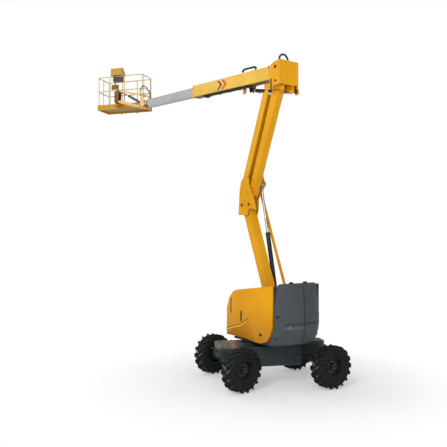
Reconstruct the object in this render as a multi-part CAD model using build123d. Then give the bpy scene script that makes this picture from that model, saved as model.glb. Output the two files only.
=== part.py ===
from build123d import *
import math
import os

os.makedirs("parts", exist_ok=True)

# Articulating boom lift, 4 wheel drive and 4 wheel steer. Millimetres.
# X is the way the boom points, Z is up, Z = 0 is the ground, and the slewing
# axis of the turret is the Z axis. The chassis stands turned under the turret.

# ---- driving dimensions -------------------------------------------------
CHASSIS_TURN = 66.0        # chassis front, degrees from the boom direction
WHEELBASE = 2040.0
TRACK = 1960.0
STEER_FRONT = 32.8         # all four wheels stand steered the same way
STEER_REAR = 22.0
TYRE_D = 940.0
TYRE_W = 360.0
LUG_H = 30.0
LUG_COUNT = 17
KINGPIN_Y = 690.0
ARM_X = -190.0             # steering arm end, from the kingpin
ARM_Y = 0.0
TIE_Z = TYRE_D / 2 + 40.0
RIM_SEAT = 219.0           # radius of the rim under the tyre beads
RIM_FLANGE = 46.0          # inner face of the rim flange, from the tyre's side
HUB_FACE = 14.0            # face of the rim on the hub, from the wheel's middle

FRAME_L = 1240.0
FRAME_W = 960.0
FRAME_Z0 = 410.0
FRAME_Z1 = 860.0
BEAM_END = 1270.0
BEAM_W = 500.0
BEAM_Z0 = 610.0
BEAM_Z1 = 900.0

DECK_Z0 = 950.0
DECK_T = 25.0
TAIL_R = 1160.0
COUNTER_X = 200.0 - TAIL_R     # front face of the counterweight
COUNTER_W = 1330.0
TURRET_TOP = 2260.0
COUNTER_RISE = 35.0        # top of the counterweight, above the hoods
HOOD_IN = 375.0
HOOD_OUT = 690.0
HOOD_SKIN = 6.0
HOOD_SIDE = [(COUNTER_X + 30, 1990), (COUNTER_X + 32, TURRET_TOP), (330, TURRET_TOP - 165), (500, TURRET_TOP - 212),
             (690, 1900), (1000, 1330), (1006, 1140), (930, 1000), (-540, 985), (COUNTER_X + 230, 1045),
             (COUNTER_X + 130, 1180), (COUNTER_X + 55, 1390)]
HOOD_SLOPE = (HOOD_SIDE[1][1] - HOOD_SIDE[2][1]) / (HOOD_SIDE[2][0] - HOOD_SIDE[1][0])
HINGE_XS = (COUNTER_X + 180.0, COUNTER_X + 720.0)    # hood hinge brackets
HINGE_IN = 12.0                # hood hinge axis, outside the hood's inner edge
HINGE_DROP = 16.0              # and below its top
HINGE_PIN = 12.0
FIT = 0.3                      # gap between surfaces that run on each other

# pins of the folding riser, x and z
P_LOW = (-324.0, 1250.0)       # lower arm on turret
P_KNEE = (820.0, 4080.0)       # lower arm on knee block
LINK_STEP = (-100.0, 360.0)    # lower link pins, from the lower arm pins
ROD_STEP = (-240.0, 500.0)     # riser rod eye, from the knee pin
P_RISER_BASE = (-80.0, 1450.0)
P_UP_LOW = (610.0, 4360.0)     # upper arm on knee block
P_UP_TOP = (-360.0, 6740.0)    # upper arm on boom head
UPLINK_STEP = (280.0, 40.0)    # upper link pins, from the upper arm pins
P_BOOM = (-550.0, 7120.0)      # boom on boom head
HEAD_TOP = 7250.0
P_LUFF_BASE = (-680.0, 6600.0)
P_LUFF_EYE = (910.0, 6940.0)
CYLINDER_FLOOR = 110.0         # bottom of a cylinder's bore, from its base pin
RISER_TRAVEL_IN = 640.0        # travel of each rod into its cylinder, from rest
LUFF_TRAVEL_IN = 45.0
JIB_TRAVEL_IN = 274.0

YOKE_GAP = 110.0           # half the height between the yoke plates
YOKE_T = 32.0

LOWARM_W = 200.0
LOWARM_D = 240.0
UPARM_W = 160.0
UPARM_D0 = 190.0
UPARM_D1 = 240.0
RISER_Y = -215.0
LOWLINK_Y = -300.0
LUFF_Y = -200.0

BOOM_ANGLE = 4.3
BOOM_W = 250.0
BOOM_H = 310.0
BOOM_DROP = 67.0           # boom axis below its pin
BOOM_L = 3780.0
INNER_W = 190.0
INNER_H = 240.0
INNER_U0 = 2900.0
INNER_U1 = 6520.0

P_FOOT = (6150.0, 7600.0)      # jib foot on boom tip
P_JIB_LOW = (P_FOOT[0] + 300.0, P_FOOT[1] - 100.0)
P_JIB_UP = (P_FOOT[0] + 250.0, P_FOOT[1] + 270.0)
JIB_L = 2048.0
JIB_ANGLE = 15.9
JIB_CYL_Y = -100.0
CARRIER_LOW = 104.0            # seats of the platform carrier on the rotator, above the floor's underside
CARRIER_HIGH = 590.0
CARRIER_T = 48.0
JIB_BASE_STEP = (50.0, 60.0)    # jib cylinder base, from the lower bar pin
JIB_EYE_STEP = (-30.0, -50.0)   # jib rod eye, from the upper bar pin

ROTATOR_STEP = (180.352, -175.072)    # rotator and platform floor, from the lower bar's far pin
ROTATOR_X = P_JIB_LOW[0] + JIB_L * math.cos(math.radians(JIB_ANGLE)) + ROTATOR_STEP[0]
BASKET_TURN = -52.9
BASKET_Z = P_JIB_LOW[1] + JIB_L * math.sin(math.radians(JIB_ANGLE)) + ROTATOR_STEP[1]
BASKET_W = 1800.0
BASKET_D = 790.0
BASKET_IN = 214.0          # inner side, from the rotator axis
BASKET_H = 1195.0
TOE_H = 180.0
RAIL_D = 34.0
MID_RAIL = 0.56 * BASKET_H
SLEEVE_H = 60.0                # sliding sleeves of the gate
GATE_LIFT = RAIL_D / 2 + SLEEVE_H / 2 + FIT    # gate's middle, above the middle rail


# ---- helpers ------------------------------------------------------------
def block(x0, x1, y0, y1, z0, z1):
    """Box from its six faces."""
    return Pos((x0 + x1) / 2, (y0 + y1) / 2, (z0 + z1) / 2) * Box(abs(x1 - x0), abs(y1 - y0), abs(z1 - z0))


def plate_xz(points, y0, y1):
    """Flat plate standing in the XZ plane between y0 and y1."""
    face = make_face(Polyline(*[(x, 0, z) for x, z in points], close=True))
    solid = extrude(face, amount=abs(y1 - y0), dir=(0, 1, 0))
    return Pos(0, min(y0, y1), 0) * solid


def plate_xy(points, z0, z1):
    """Flat plate lying between z0 and z1."""
    face = make_face(Polyline(*[(x, y, 0) for x, y in points], close=True))
    return Pos(0, 0, z0) * extrude(face, amount=z1 - z0, dir=(0, 0, 1))


def rod(p, q, d):
    """Round bar from p to q."""
    a = Vector(*p)
    b = Vector(*q)
    way = b - a
    return Plane(origin=(a + b) / 2, z_dir=way) * Cylinder(d / 2, way.length)


def pin(at, y0, y1, d):
    """Round pin along Y at (x, z)."""
    return rod((at[0], y0, at[1]), (at[0], y1, at[1]), d)


def angle_of(p, q):
    return math.degrees(math.atan2(q[1] - p[1], q[0] - p[0]))


def length_of(p, q):
    return math.hypot(q[0] - p[0], q[1] - p[1])


def along(p, q):
    """Placement with its X axis from p to q in the XZ plane, Y kept."""
    return Location((p[0], 0, p[1]), (0, -angle_of(p, q), 0))


def shifted(p, step):
    return (p[0] + step[0], p[1] + step[1])


def pipe(points, d, bend):
    """Round tube, drawn solid, along a path with bent corners."""
    path = FilletPolyline(*points, radius=bend)
    start = Plane(origin=path @ 0, z_dir=path % 0)
    return sweep(start * Circle(d / 2), path=path)


def keep(shape, name):
    shape.label = name
    export_step(shape, "parts/" + name + ".step")


def turned(shape):
    """From chassis coordinates to the machine's."""
    return Rot(0, 0, CHASSIS_TURN) * shape


# ---- chassis ------------------------------------------------------------
def chassis_frame():
    wall = 14.0
    half_l = FRAME_L / 2
    half_w = FRAME_W / 2
    body = block(-half_l, half_l, -half_w, half_w, FRAME_Z0, FRAME_Z1)
    low_edges = body.edges().filter_by(Axis.X).group_by(Axis.Z)[0]
    body = chamfer(low_edges, 60)
    body -= block(-half_l + wall, half_l - wall, -half_w + wall, half_w - wall, FRAME_Z0 + 70, FRAME_Z1 - wall)
    beam = block(-BEAM_END, BEAM_END, -BEAM_W / 2, BEAM_W / 2, BEAM_Z0, BEAM_Z1)
    beam = fillet(beam.edges().filter_by(Axis.Z), 110)
    beam -= block(-BEAM_END + 60, -half_l, -BEAM_W / 2 + wall, BEAM_W / 2 - wall, BEAM_Z0 - 1, BEAM_Z1 - wall)
    beam -= block(half_l, BEAM_END - 60, -BEAM_W / 2 + wall, BEAM_W / 2 - wall, BEAM_Z0 - 1, BEAM_Z1 - wall)
    beam -= block(-half_l + wall, half_l - wall, -BEAM_W / 2 - 1, BEAM_W / 2 + 1, BEAM_Z0 - 1, FRAME_Z1 - wall)
    ring = Pos(0, 0, (BEAM_Z1 + DECK_Z0 - 25) / 2 - 10) * Cylinder(400, DECK_Z0 - 25 - BEAM_Z1 + 20)
    ring -= Pos(0, 0, DECK_Z0 - 25) * Cylinder(300, 60)
    frame = body + beam + ring
    for end in (-1, 1):
        for side in (-1, 1):
            eye_x = end * (BEAM_END + 30)
            eye_y = side * 150
            tab = block(min(eye_x, eye_x - end * 55), max(eye_x, eye_x - end * 55), eye_y - 45, eye_y + 45, 733, 757)
            tab += Pos(eye_x, eye_y, 745) * Cylinder(45, 24)
            frame += tab - Pos(eye_x, eye_y, 745) * Cylinder(25, 60)
    return frame


def axle(x):
    beam = block(x - 80, x + 80, -560, 560, 400, 560)
    beam = fillet(beam.edges().filter_by(Axis.Y), 25)
    saddle = block(x - 120, x + 120, -BEAM_W / 2, BEAM_W / 2, 540, BEAM_Z0)
    part = beam + saddle
    for side in (-1, 1):
        outer = side * (KINGPIN_Y + 60)
        inner = side * 550
        hub_z = TYRE_D / 2
        for way in (-1, 1):
            near = hub_z + way * YOKE_GAP
            far = near + way * YOKE_T
            part += block(x - 60, x + 60, inner, outer, near, far)
        part += block(x - 60, x + 60, side * 540, side * 575, hub_z - YOKE_GAP, hub_z + YOKE_GAP)
        part -= Pos(x, side * KINGPIN_Y, hub_z) * Cylinder(28, 400)
    return part


def knuckle(side):
    """Steering knuckle about its kingpin at the origin, wheel towards +Y * side."""
    hub_y = TRACK / 2 - KINGPIN_Y
    body = Cylinder(62, 210)
    body += block(-70, 70, side * 40, side * 120, -95, 95)
    drum = rod((0, side * 110, 0), (0, side * (hub_y - 25), 0), 250)
    drum += rod((0, side * (hub_y - 26), 0), (0, side * (hub_y + HUB_FACE - FIT), 0), 215)
    body += drum
    arm = plate_xy([(-40, side * 30), (ARM_X - 28, side * (ARM_Y + 26)), (ARM_X - 28, side * (ARM_Y - 26)),
                    (ARM_X + 20, side * (ARM_Y - 28)), (20, side * -50)], 40, 66)
    arm -= Pos(ARM_X, side * ARM_Y, 50) * Cylinder(13, 60)
    king = Cylinder(27, 2 * 146)
    return body + arm + king


def placed_corner(shape, end, side):
    """Move a knuckle or wheel shape to its corner, steered as it stands."""
    place = Pos(end * WHEELBASE / 2, side * KINGPIN_Y, TYRE_D / 2) * Rot(0, 0, steered(end))
    return turned(place * shape)


def steered(end):
    return STEER_FRONT if end > 0 else STEER_REAR


def tie_rod(end):
    """Bar between the two steering arms of one axle."""
    left = arm_end(1, end)
    right = arm_end(-1, end)
    z_low = TIE_Z - 17
    bar = rod((left[0], left[1], z_low), (right[0], right[1], z_low), 32)
    for at in (left, right):
        bar += Pos(at[0], at[1], z_low) * Cylinder(26, 30)
        bar += Pos(at[0], at[1], z_low + 25) * Cylinder(12.5, 60)
    return turned(bar)


def arm_end(side, end):
    flip = 1 if end > 0 else -1
    local = Vector(flip * ARM_X, side * ARM_Y, 0).rotate(Axis.Z, steered(end))
    return (end * WHEELBASE / 2 + local.X, side * KINGPIN_Y + local.Y)


def tyre():
    """Tyre about the Y axis, centred on the origin."""
    r_out = TYRE_D / 2
    r_tread = r_out - LUG_H
    half = TYRE_W / 2
    r_bead = RIM_SEAT + FIT
    bead = RIM_FLANGE + FIT
    wall = 44
    profile = Polyline((half - bead, r_bead), (half - bead, r_bead + 14), (half - 22, r_bead + 40),
                       (half - 6, r_bead + 95), (half - 22, r_tread - 45), (half - 60, r_tread),
                       (-half + 60, r_tread), (-half + 22, r_tread - 45), (-half + 6, r_bead + 95),
                       (-half + 22, r_bead + 40), (-half + bead, r_bead + 14), (-half + bead, r_bead),
                       (-half + bead + 24, r_bead), (-half + bead + 16, r_tread - wall),
                       (half - bead - 16, r_tread - wall), (half - bead - 24, r_bead), close=True)
    carcass = revolve(Plane.XY * make_face(profile), Axis.X)
    crown = Polyline((half, r_tread - 78), (half - 8, r_out - 30), (half - 34, r_out), (-half + 34, r_out),
                     (-half + 8, r_out - 30), (-half, r_tread - 78), (-half + 30, r_tread - 90),
                     (half - 30, r_tread - 90), close=True)
    envelope = revolve(Plane.XY * make_face(crown), Axis.X)
    lug = Pos(half / 2 - 6, 0, r_out - 40) * Rot(0, 0, 32) * Box(half + 46, 44, 170)
    lug = lug & Pos(half / 2 + 4, 0, r_out) * Box(half + 8, 400, 400)
    lug = lug & envelope
    step = 360.0 / LUG_COUNT
    lugs = [Rot(i * step, 0, 0) * lug for i in range(LUG_COUNT)]
    lugs += [Rot((i + 0.5) * step, 0, 0) * mirror(lug, about=Plane.YZ) for i in range(LUG_COUNT)]
    whole = carcass + lugs
    return Rot(0, 0, 90) * whole


def rim(side):
    """Wheel rim about the Y axis, dish towards +Y * side."""
    half = TYRE_W / 2
    flange = RIM_FLANGE - 10
    profile = Polyline((-half + RIM_FLANGE, RIM_SEAT), (-half + RIM_FLANGE, 232), (-half + flange, 232),
                       (-half + flange, 200), (-half + 70, 190), (10, 190), (HUB_FACE, 118), (30, 118), (34, 196),
                       (half - 60, 205), (half - flange, 205), (half - flange, 232), (half - RIM_FLANGE, 232),
                       (half - RIM_FLANGE, RIM_SEAT), close=True)
    ring = revolve(Plane.XY * make_face(profile), Axis.X)
    hub = Polyline((HUB_FACE, 0), (HUB_FACE, 122), (40, 122), (44, 92), (96, 86), (110, 70), (112, 0), close=True)
    ring += revolve(Plane.XY * make_face(hub), Axis.X)
    nuts = [Rot(i * 36, 0, 0) * Pos(36, 0, 105) * Rot(0, 90, 0) * Cylinder(11, 30) for i in range(10)]
    ring += nuts
    turn = 90 if side > 0 else -90
    return Rot(0, 0, turn) * ring


# ---- turret -------------------------------------------------------------
def turret_frame():
    top = DECK_Z0 + DECK_T
    deck = plate_xy([(COUNTER_X, -440), (COUNTER_X + 160, -610), (560, -610), (760, -420), (760, 420), (560, 610),
                     (COUNTER_X + 160, 610), (COUNTER_X, 440)],
                    DECK_Z0, top)
    deck += Pos(0, 0, DECK_Z0 - 12) * Cylinder(385, 26)
    rear = COUNTER_X + 5
    wall = [(rear, top), (rear, 2080), (COUNTER_X + 400, 2080), (COUNTER_X + 760, 1960), (180, 1640), (420, 1250),
            (480, top)]
    frame = deck + plate_xz(wall, -360, -345) + plate_xz(wall, 300, 315)
    lug = [(-480, top), (-460, 1240), (-400, 1330), (-324, 1352), (-240, 1325), (-190, 1240), (-100, top)]
    for y0 in (-130, 110):
        frame += plate_xz(lug, y0, y0 + 20)
    frame += pin(P_LOW, -360, 315, 60)
    base_lug = [(-210, top), (-150, 1440), (-120, 1500), (-60, 1510), (-15, 1470), (0, 1400), (60, top)]
    frame += plate_xz(base_lug, -160, -145)
    frame += plate_xz(base_lug, -290, -275)
    frame += pin(P_RISER_BASE, -290, -145, 50)
    frame += pin(shifted(P_LOW, LINK_STEP), -360, -272, 40)
    frame += plate_xy([(560, -330), (740, -330), (740, 300), (560, 300)], top, P_LOW[1] - LOWARM_D / 2)
    for x in HINGE_XS:
        y = HOOD_IN + HINGE_IN
        z = hinge_height(x)
        knuckle_l = block(x - 6, x + 6, 300, y, z - 190, z)
        knuckle_r = block(x - 6, x + 6, -y, -345, z - 190, z)
        for side, ear in ((1, knuckle_l), (-1, knuckle_r)):
            ear += Pos(x, side * y, z) * Rot(0, 90, 0) * Cylinder(11, 12)
            frame += ear - hinge_rod(x, side, HINGE_PIN + 2 * FIT, 20)
    return frame


def hinge_height(x):
    return TURRET_TOP - HINGE_DROP - (x - HOOD_SIDE[1][0]) * HOOD_SLOPE


def hinge_rod(x, side, d, reach):
    """Length of the hood's hinge line about x."""
    y = side * (HOOD_IN + HINGE_IN)
    return rod((x - reach, y, hinge_height(x - reach)), (x + reach, y, hinge_height(x + reach)), d)


def tail_curve(inset):
    """Upright outline of the tail's skin, drawn in by inset."""
    z0 = DECK_Z0 + DECK_T
    r = TAIL_R - inset
    low = ThreePointArc((r - 130, z0), (r - 40, z0 + 190), (r, z0 + 430))
    high = ThreePointArc((r, z0 + 430), (r - 8, z0 + 800), (r - 50, TURRET_TOP + COUNTER_RISE - 30))
    return low + high


def counterweight():
    """Cast tail weight: bulged back, panel grooves and wings under the hoods."""
    z0 = DECK_Z0 + DECK_T
    z1 = TURRET_TOP + COUNTER_RISE
    top = Polyline((TAIL_R - 50, z1 - 30), (TAIL_R - 80, z1), (0, z1), (0, z0), (TAIL_R - 130, z0))
    core = revolve(make_face(Plane.XZ * (tail_curve(0) + top)), Axis.Z)
    plan = make_face(Polyline((-TAIL_R - 10, -COUNTER_W / 2), (COUNTER_X, -COUNTER_W / 2), (COUNTER_X, COUNTER_W / 2),
                              (-TAIL_R - 10, COUNTER_W / 2), close=True))
    weight = core & Pos(0, 0, z0) * extrude(plan, amount=z1 - z0, dir=(0, 0, 1))
    groove = (-TAIL_R - 140, -TAIL_R + 160)
    grooves = block(*groove, -44, -36, 1420, z1 + 50) + block(*groove, -520, 100, 1416, 1424)
    arc = Pos(0, 100, 1020) * Rot(0, 90, 0) * Pos(0, 0, 10 - TAIL_R) * quarter_ring(400, 8)
    weight -= (grooves + arc) & groove_band()
    wing = [(COUNTER_X - 60, z0), (COUNTER_X - 60, 1480), (COUNTER_X + 25, 1330), (COUNTER_X + 170, 1050),
            (COUNTER_X + 420, z0)]
    for side_y in (-1, 1):
        weight += plate_xz(wing, side_y * 380, side_y * 640) & core
    return weight


def groove_band():
    """Thin layer under the tail's skin, where its grooves are cut."""
    z0 = DECK_Z0 + DECK_T
    z1 = TURRET_TOP + COUNTER_RISE
    top = Polyline((TAIL_R - 58, z1 - 30), (TAIL_R - 78, z1 + 50), (TAIL_R + 50, z1 + 50), (TAIL_R + 50, z0),
                   (TAIL_R - 138, z0))
    return revolve(make_face(Plane.XZ * (tail_curve(8) + top)), Axis.Z)


def quarter_ring(r, w):
    ring = Cylinder(r + w / 2, 400) - Cylinder(r - w / 2, 400)
    return ring & block(0, r + w, 0, r + w, -200, 200)


def hood_solid(inset):
    """Body of the left hood's outline, drawn in by inset."""
    face = make_face(Polyline(*[(x, z) for x, z in HOOD_SIDE], close=True))
    others = [v for v in face.vertices() if not (v.X < -500 and v.Y < 1500)]
    face = fillet(others, 45)
    if inset > 0:
        face = offset(face, amount=-inset)
    body = extrude(Plane.XZ * face, amount=HOOD_OUT + 60, dir=(0, 1, 0))
    back = COUNTER_X - 140
    plan = [(back, HOOD_IN - 60), (back, HOOD_OUT - 45), (-700, HOOD_OUT - 6), (-100, HOOD_OUT), (500, HOOD_OUT - 12),
            (830, HOOD_OUT - 60), (975, HOOD_OUT - 170), (1030, HOOD_IN - 60)]
    sheet = make_face(Polyline(*plan, close=True))
    sheet = fillet([v for v in sheet.vertices() if v.X > 700 and v.Y > HOOD_IN], 60)
    if inset > 0:
        sheet = offset(sheet, amount=-inset)
    body = body & extrude(sheet, amount=3000, dir=(0, 0, 1))
    outer_y = HOOD_OUT + 40 - inset
    inner_y = HOOD_OUT - 110 - inset
    crease = [(1100, 1081), (150, 1404), (-204, 1641), (-609, 900), (1100, 900)]
    foot = [(1100, 965), (300, 965), (130, 963), (100, 900), (1100, 900)]
    near = Pos(0, outer_y, 0) * (Plane.XZ * make_face(Polyline(*crease, close=True)))
    far = Pos(0, inner_y, 0) * (Plane.XZ * make_face(Polyline(*foot, close=True)))
    return body - loft([near, far], ruled=True)


def hood(side):
    """Engine or tank hood: a thin shell, open below and towards the channel."""
    shell = hood_solid(0) - hood_solid(HOOD_SKIN)
    shell = shell & block(-1200, 1200, HOOD_IN, 900, 900, 2400)
    shell -= block(-880, 900, HOOD_IN - 10, HOOD_OUT - 230, 900, 1035)
    shell -= block(-860, 40, HOOD_IN - 10, HOOD_OUT - 90, 900, 1035)
    slot_x, slot_z = 190.0, 1503.0
    cup = block(slot_x - 42, slot_x + 42, HOOD_OUT - 50, HOOD_OUT - 4, slot_z - 128, slot_z + 128)
    hollow = block(slot_x - 36, slot_x + 36, HOOD_OUT - 44, HOOD_OUT + 20, slot_z - 122, slot_z + 122)
    shell = shell + (cup & hood_solid(0)) - hollow
    for x in (-555, -505):
        shell -= Pos(x, HOOD_OUT, 1171) * Rot(90, 0, 0) * Cylinder(30, 80)
    shell -= block(-555, -505, HOOD_OUT - 40, HOOD_OUT + 40, 1141, 1201)
    slit = (hood_solid(0) - hood_solid(HOOD_SKIN / 2)) & block(590, 642, HOOD_OUT - 100, HOOD_OUT + 10, 1525, 1890)
    shell -= slit
    for x in HINGE_XS:
        y = HOOD_IN + HINGE_IN
        z = hinge_height(x)
        lugs = block(x - 26, x + 26, HOOD_IN, y + 14, z - 14, z + 60) & hood_solid(0)
        shell += lugs
        shell -= block(x - 10, x + 10, HOOD_IN - 1, y + 16, z - 40, z + 60)
        shell += hinge_rod(x, 1, HINGE_PIN, 20)
    if side < 0:
        shell = mirror(shell, about=Plane.XZ)
    return shell


def engine_block():
    return block(COUNTER_X + 440, COUNTER_X + 980, -560, -390, DECK_Z0 + DECK_T, 1580)


# ---- riser --------------------------------------------------------------
def box_arm(p, q, width, d0, d1, wall, boss0, boss1):
    """Welded box arm from pin p to pin q, depth d0 at p and d1 at q."""
    size = length_of(p, q)
    outer = plate_xz([(0, -d0 / 2), (size, -d1 / 2), (size, d1 / 2), (0, d0 / 2)], -width / 2, width / 2)
    inner = plate_xz([(60, -d0 / 2 + wall), (size - 60, -d1 / 2 + wall), (size - 60, d1 / 2 - wall),
                      (60, d0 / 2 - wall)], -width / 2 + wall, width / 2 - wall)
    arm = outer - inner
    arm += rod((0, -width / 2, 0), (0, width / 2, 0), boss0)
    arm += rod((size, -width / 2, 0), (size, width / 2, 0), boss1)
    return arm


def bored(shape, at, d, width):
    return shape - rod((at[0], -width, at[1]), (at[0], width, at[1]), d)


def lower_arm():
    size = length_of(P_LOW, P_KNEE)
    arm = box_arm(P_LOW, P_KNEE, LOWARM_W, LOWARM_D, LOWARM_D, 8, 220, LOWARM_D)
    arm = bored(arm, (0, 0), 60 + 2 * FIT, 200)
    arm = bored(arm, (size, 0), 60 + 2 * FIT, 200)
    return along(P_LOW, P_KNEE) * arm


def lower_link():
    size = length_of(P_LOW, P_KNEE)
    bar = block(0, size, -20, 20, -30, 30)
    for x in (0, size):
        bar += rod((x, -20, 0), (x, 20, 0), 90)
    for x in (0, size):
        bar -= rod((x, -60, 0), (x, 60, 0), 40 + 2 * FIT)
    place = Location((P_LOW[0] + LINK_STEP[0], LOWLINK_Y, P_LOW[1] + LINK_STEP[1]), (0, -angle_of(P_LOW, P_KNEE), 0))
    return place * bar


CHEEK_BACK = [(650, 3830), (1015, 3840), (985, 4210), (965, 4440), (905, 4660), (880, 4700), (650, 4760)]
CHEEK_LEFT = CHEEK_BACK + [(590, 4700), (600, 4540), (500, 4400), (380, 4170), (310, 3950), (450, 3980), (600, 3990)]
CHEEK_RIGHT = CHEEK_BACK + [(600, 4760), (535, 4640), (535, 4530), (570, 4470), (545, 4380), (545, 4300), (590, 4200),
                            (600, 3990)]


def knee_block():
    block_part = plate_xz(CHEEK_LEFT, 135, 155)
    block_part += plate_xz(CHEEK_RIGHT, -155, -135)
    block_part += block(975, 1000, -140, 140, 3850, 4130)
    block_part += plate_xz([(975, 3850), (955, 4210), (975, 4210), (1000, 3850)], -140, 140)
    horn = [(548, 4556), (548, 4606), (600, 4660), (650, 4760), (650, 4960), (720, 4960), (790, 4480), (770, 4400),
            (700, 4390), (600, 4530)]
    block_part += plate_xz(horn, -345, -325)
    block_part += block(650, 715, -345, -135, 4850, 4890)
    block_part += plate_xz([(600, 4740), (650, 4890), (715, 4890), (760, 4740)], -155, -135)
    block_part += pin(P_KNEE, -155, 155, 60)
    block_part += pin(P_UP_LOW, -155, 155, 60)
    block_part += pin(shifted(P_UP_LOW, UPLINK_STEP), -155, 155, 40)
    for y0, y1 in ((-345, RISER_Y - 40), (RISER_Y + 40, -135)):
        block_part += pin(shifted(P_KNEE, ROD_STEP), y0, y1, 60)
    block_part += pin(shifted(P_KNEE, LINK_STEP), -345, -135, 40)
    return block_part


def cylinder_pair(base, eye, y, bore_d, rod_d, barrel_l, eye_w, base_pin, eye_pin, travel_in):
    """Hydraulic cylinder from base pin to rod eye: barrel and rod, which can go in by travel_in."""
    size = length_of(base, eye)
    barrel = rod((60, 0, 0), (barrel_l, 0, 0), bore_d)
    barrel += rod((barrel_l - 60, 0, 0), (barrel_l, 0, 0), bore_d + 6)
    barrel += rod((0, -eye_w / 2, 0), (0, eye_w / 2, 0), base_pin * 1.9)
    barrel += block(0, 70, -eye_w / 2, eye_w / 2, -base_pin * 0.8, base_pin * 0.8)
    barrel -= rod((0, -100, 0), (0, 100, 0), base_pin + 2 * FIT)
    barrel -= rod((CYLINDER_FLOOR, 0, 0), (barrel_l + 10, 0, 0), rod_d + 2 * FIT)
    ram = rod((CYLINDER_FLOOR + travel_in + 20, 0, 0), (size - 40, 0, 0), rod_d)
    ram += rod((size, -eye_w / 2, 0), (size, eye_w / 2, 0), eye_pin * 1.9)
    ram += block(size - 90, size, -eye_w / 2, eye_w / 2, -eye_pin * 0.75, eye_pin * 0.75)
    place = Location((base[0], y, base[1]), (0, -angle_of(base, eye), 0))
    return place * barrel, place * ram


def upper_arm():
    size = length_of(P_UP_LOW, P_UP_TOP)
    arm = box_arm(P_UP_LOW, P_UP_TOP, UPARM_W, UPARM_D0, UPARM_D1, 8, UPARM_D0, UPARM_D1 - 20)
    arm = bored(arm, (0, 0), 60 + 2 * FIT, 200)
    arm = bored(arm, (size, 0), 60 + 2 * FIT, 200)
    return along(P_UP_LOW, P_UP_TOP) * arm


def upper_link():
    size = length_of(P_UP_LOW, P_UP_TOP)
    low = -95.0
    side = [(-20, -40), (30, 40), (size - 30, 40), (size + 20, -30), (size, low), (0, low)]
    bar = plate_xz([(0, -45), (0, 40), (size, 40), (size, -45)], -128, -88)
    bar += plate_xz([(0, -45), (0, 40), (size, 40), (size, -45)], 88, 128)
    bar = bar + plate_xz([(160, low), (160, low + 10), (size - 160, low + 10), (size - 160, low)], -128, 128)
    for y0 in (-128, 118):
        bar += plate_xz([(160, low), (110, -40), (size - 110, -40), (size - 160, low)], y0, y0 + 10)
    for x in (0, size):
        for y0 in (-128, 88):
            bar += rod((x, y0, 0), (x, y0 + 40, 0), 96)
    for x in (0, size):
        bar -= rod((x, -200, 0), (x, 200, 0), 41)
    start = shifted(P_UP_LOW, UPLINK_STEP)
    return along(start, shifted(P_UP_TOP, UPLINK_STEP)) * bar


def boom_head():
    left = [(-700, 6710), (-700, 7235), (-620, 7250), (-470, 7232), (-330, 7160), (-305, 7010), (-330, 6860),
            (-430, 6710)]
    right = [(-745, 6560), (-730, 6520), (-640, 6520), (-600, 6600), (-430, 6640), (-410, 6900), (-400, 7150),
             (-480, 7225), (-620, 7250), (-700, 7235), (-700, 6710)]
    head = plate_xz(left, 250, 270)
    head += plate_xz(right, -270, -250)
    head += block(-715, -695, -270, 270, 6710, 7240)
    head += block(-715, -645, -270, 270, HEAD_TOP - 20, HEAD_TOP)
    jaw = [(-700, 6850), (-20, 6850), (5, 6780), (-40, 6728), (-120, 6700), (-330, 6672)]
    left_lug = jaw + [(-440, 6668), (-640, 6600), (-700, 6600)]
    right_lug = jaw + [(-440, 6640), (-640, 6540), (-700, 6560)]
    head += plate_xz(left_lug, 135, 150)
    head += plate_xz(right_lug, -150, -135)
    head += block(-700, -520, -135, 270, 6820, 6845)
    head += pin(P_BOOM, -270, 270, 60)
    head += pin(P_UP_TOP, -150, 150, 60)
    for y0, y1 in ((-150, -UPARM_W / 2 - 5), (UPARM_W / 2 + 5, 150)):
        head += pin(shifted(P_UP_TOP, UPLINK_STEP), y0, y1, 40)
    head += pin(P_LUFF_BASE, -275, -135, 50)
    return head


def head_hose():
    x = -669
    turn_z = HEAD_TOP + 60
    crown_z = HEAD_TOP + 130
    arch = pipe([(x, 246, HEAD_TOP), (x, 246, turn_z), (x, 176, crown_z), (x, 78, crown_z), (x, 8, turn_z),
                 (x, 8, HEAD_TOP)], 44, 50)
    return arch


# ---- boom ---------------------------------------------------------------
def on_boom(shape):
    return Location((P_BOOM[0], 0, P_BOOM[1]), (0, -BOOM_ANGLE, 0)) * shape


def boom_outer():
    half_w = BOOM_W / 2
    z0 = -BOOM_DROP - BOOM_H / 2
    z1 = -BOOM_DROP + BOOM_H / 2
    tube = block(60, BOOM_L, -half_w, half_w, z0, z1)
    tube -= block(140, BOOM_L + 1, -half_w + 8, half_w - 8, z0 + 8, z1 - 8)
    tube += block(BOOM_L - 60, BOOM_L, -half_w - 10, half_w + 10, z0 - 10, z1 + 10)
    hole_h = INNER_H / 2 + FIT
    hole_w = INNER_W / 2 + FIT
    tube -= block(BOOM_L - 200, BOOM_L + 1, -hole_w, hole_w, -BOOM_DROP - hole_h, -BOOM_DROP + hole_h)
    heel = rod((0, -half_w, 0), (0, half_w, 0), 150)
    heel += plate_xz([(0, 75), (140, z1), (140, z0), (60, z0), (-70, -20)], -half_w, half_w)
    tube += heel
    tube -= rod((0, -300, 0), (0, 300, 0), 60 + 2 * FIT)
    return on_boom(tube)


def luff_bracket():
    eye = P_LUFF_EYE
    plate = [(eye[0] - 140, 7090), (eye[0] - 60, 6960), (eye[0] - 40, 6895), (eye[0] + 40, 6890),
             (eye[0] + 60, 6960), (eye[0] + 110, 7110)]
    part = plate_xz(plate, -250, -236) + plate_xz(plate, -164, -150)
    part += plate_xz([(eye[0] - 150, 7060), (eye[0] - 150, 7100), (eye[0] + 130, 7120), (eye[0] + 130, 7080)],
                     -250, -122)
    part += pin(eye, -262, -236, 70) + pin(eye, -164, -140, 70)
    return part


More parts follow.
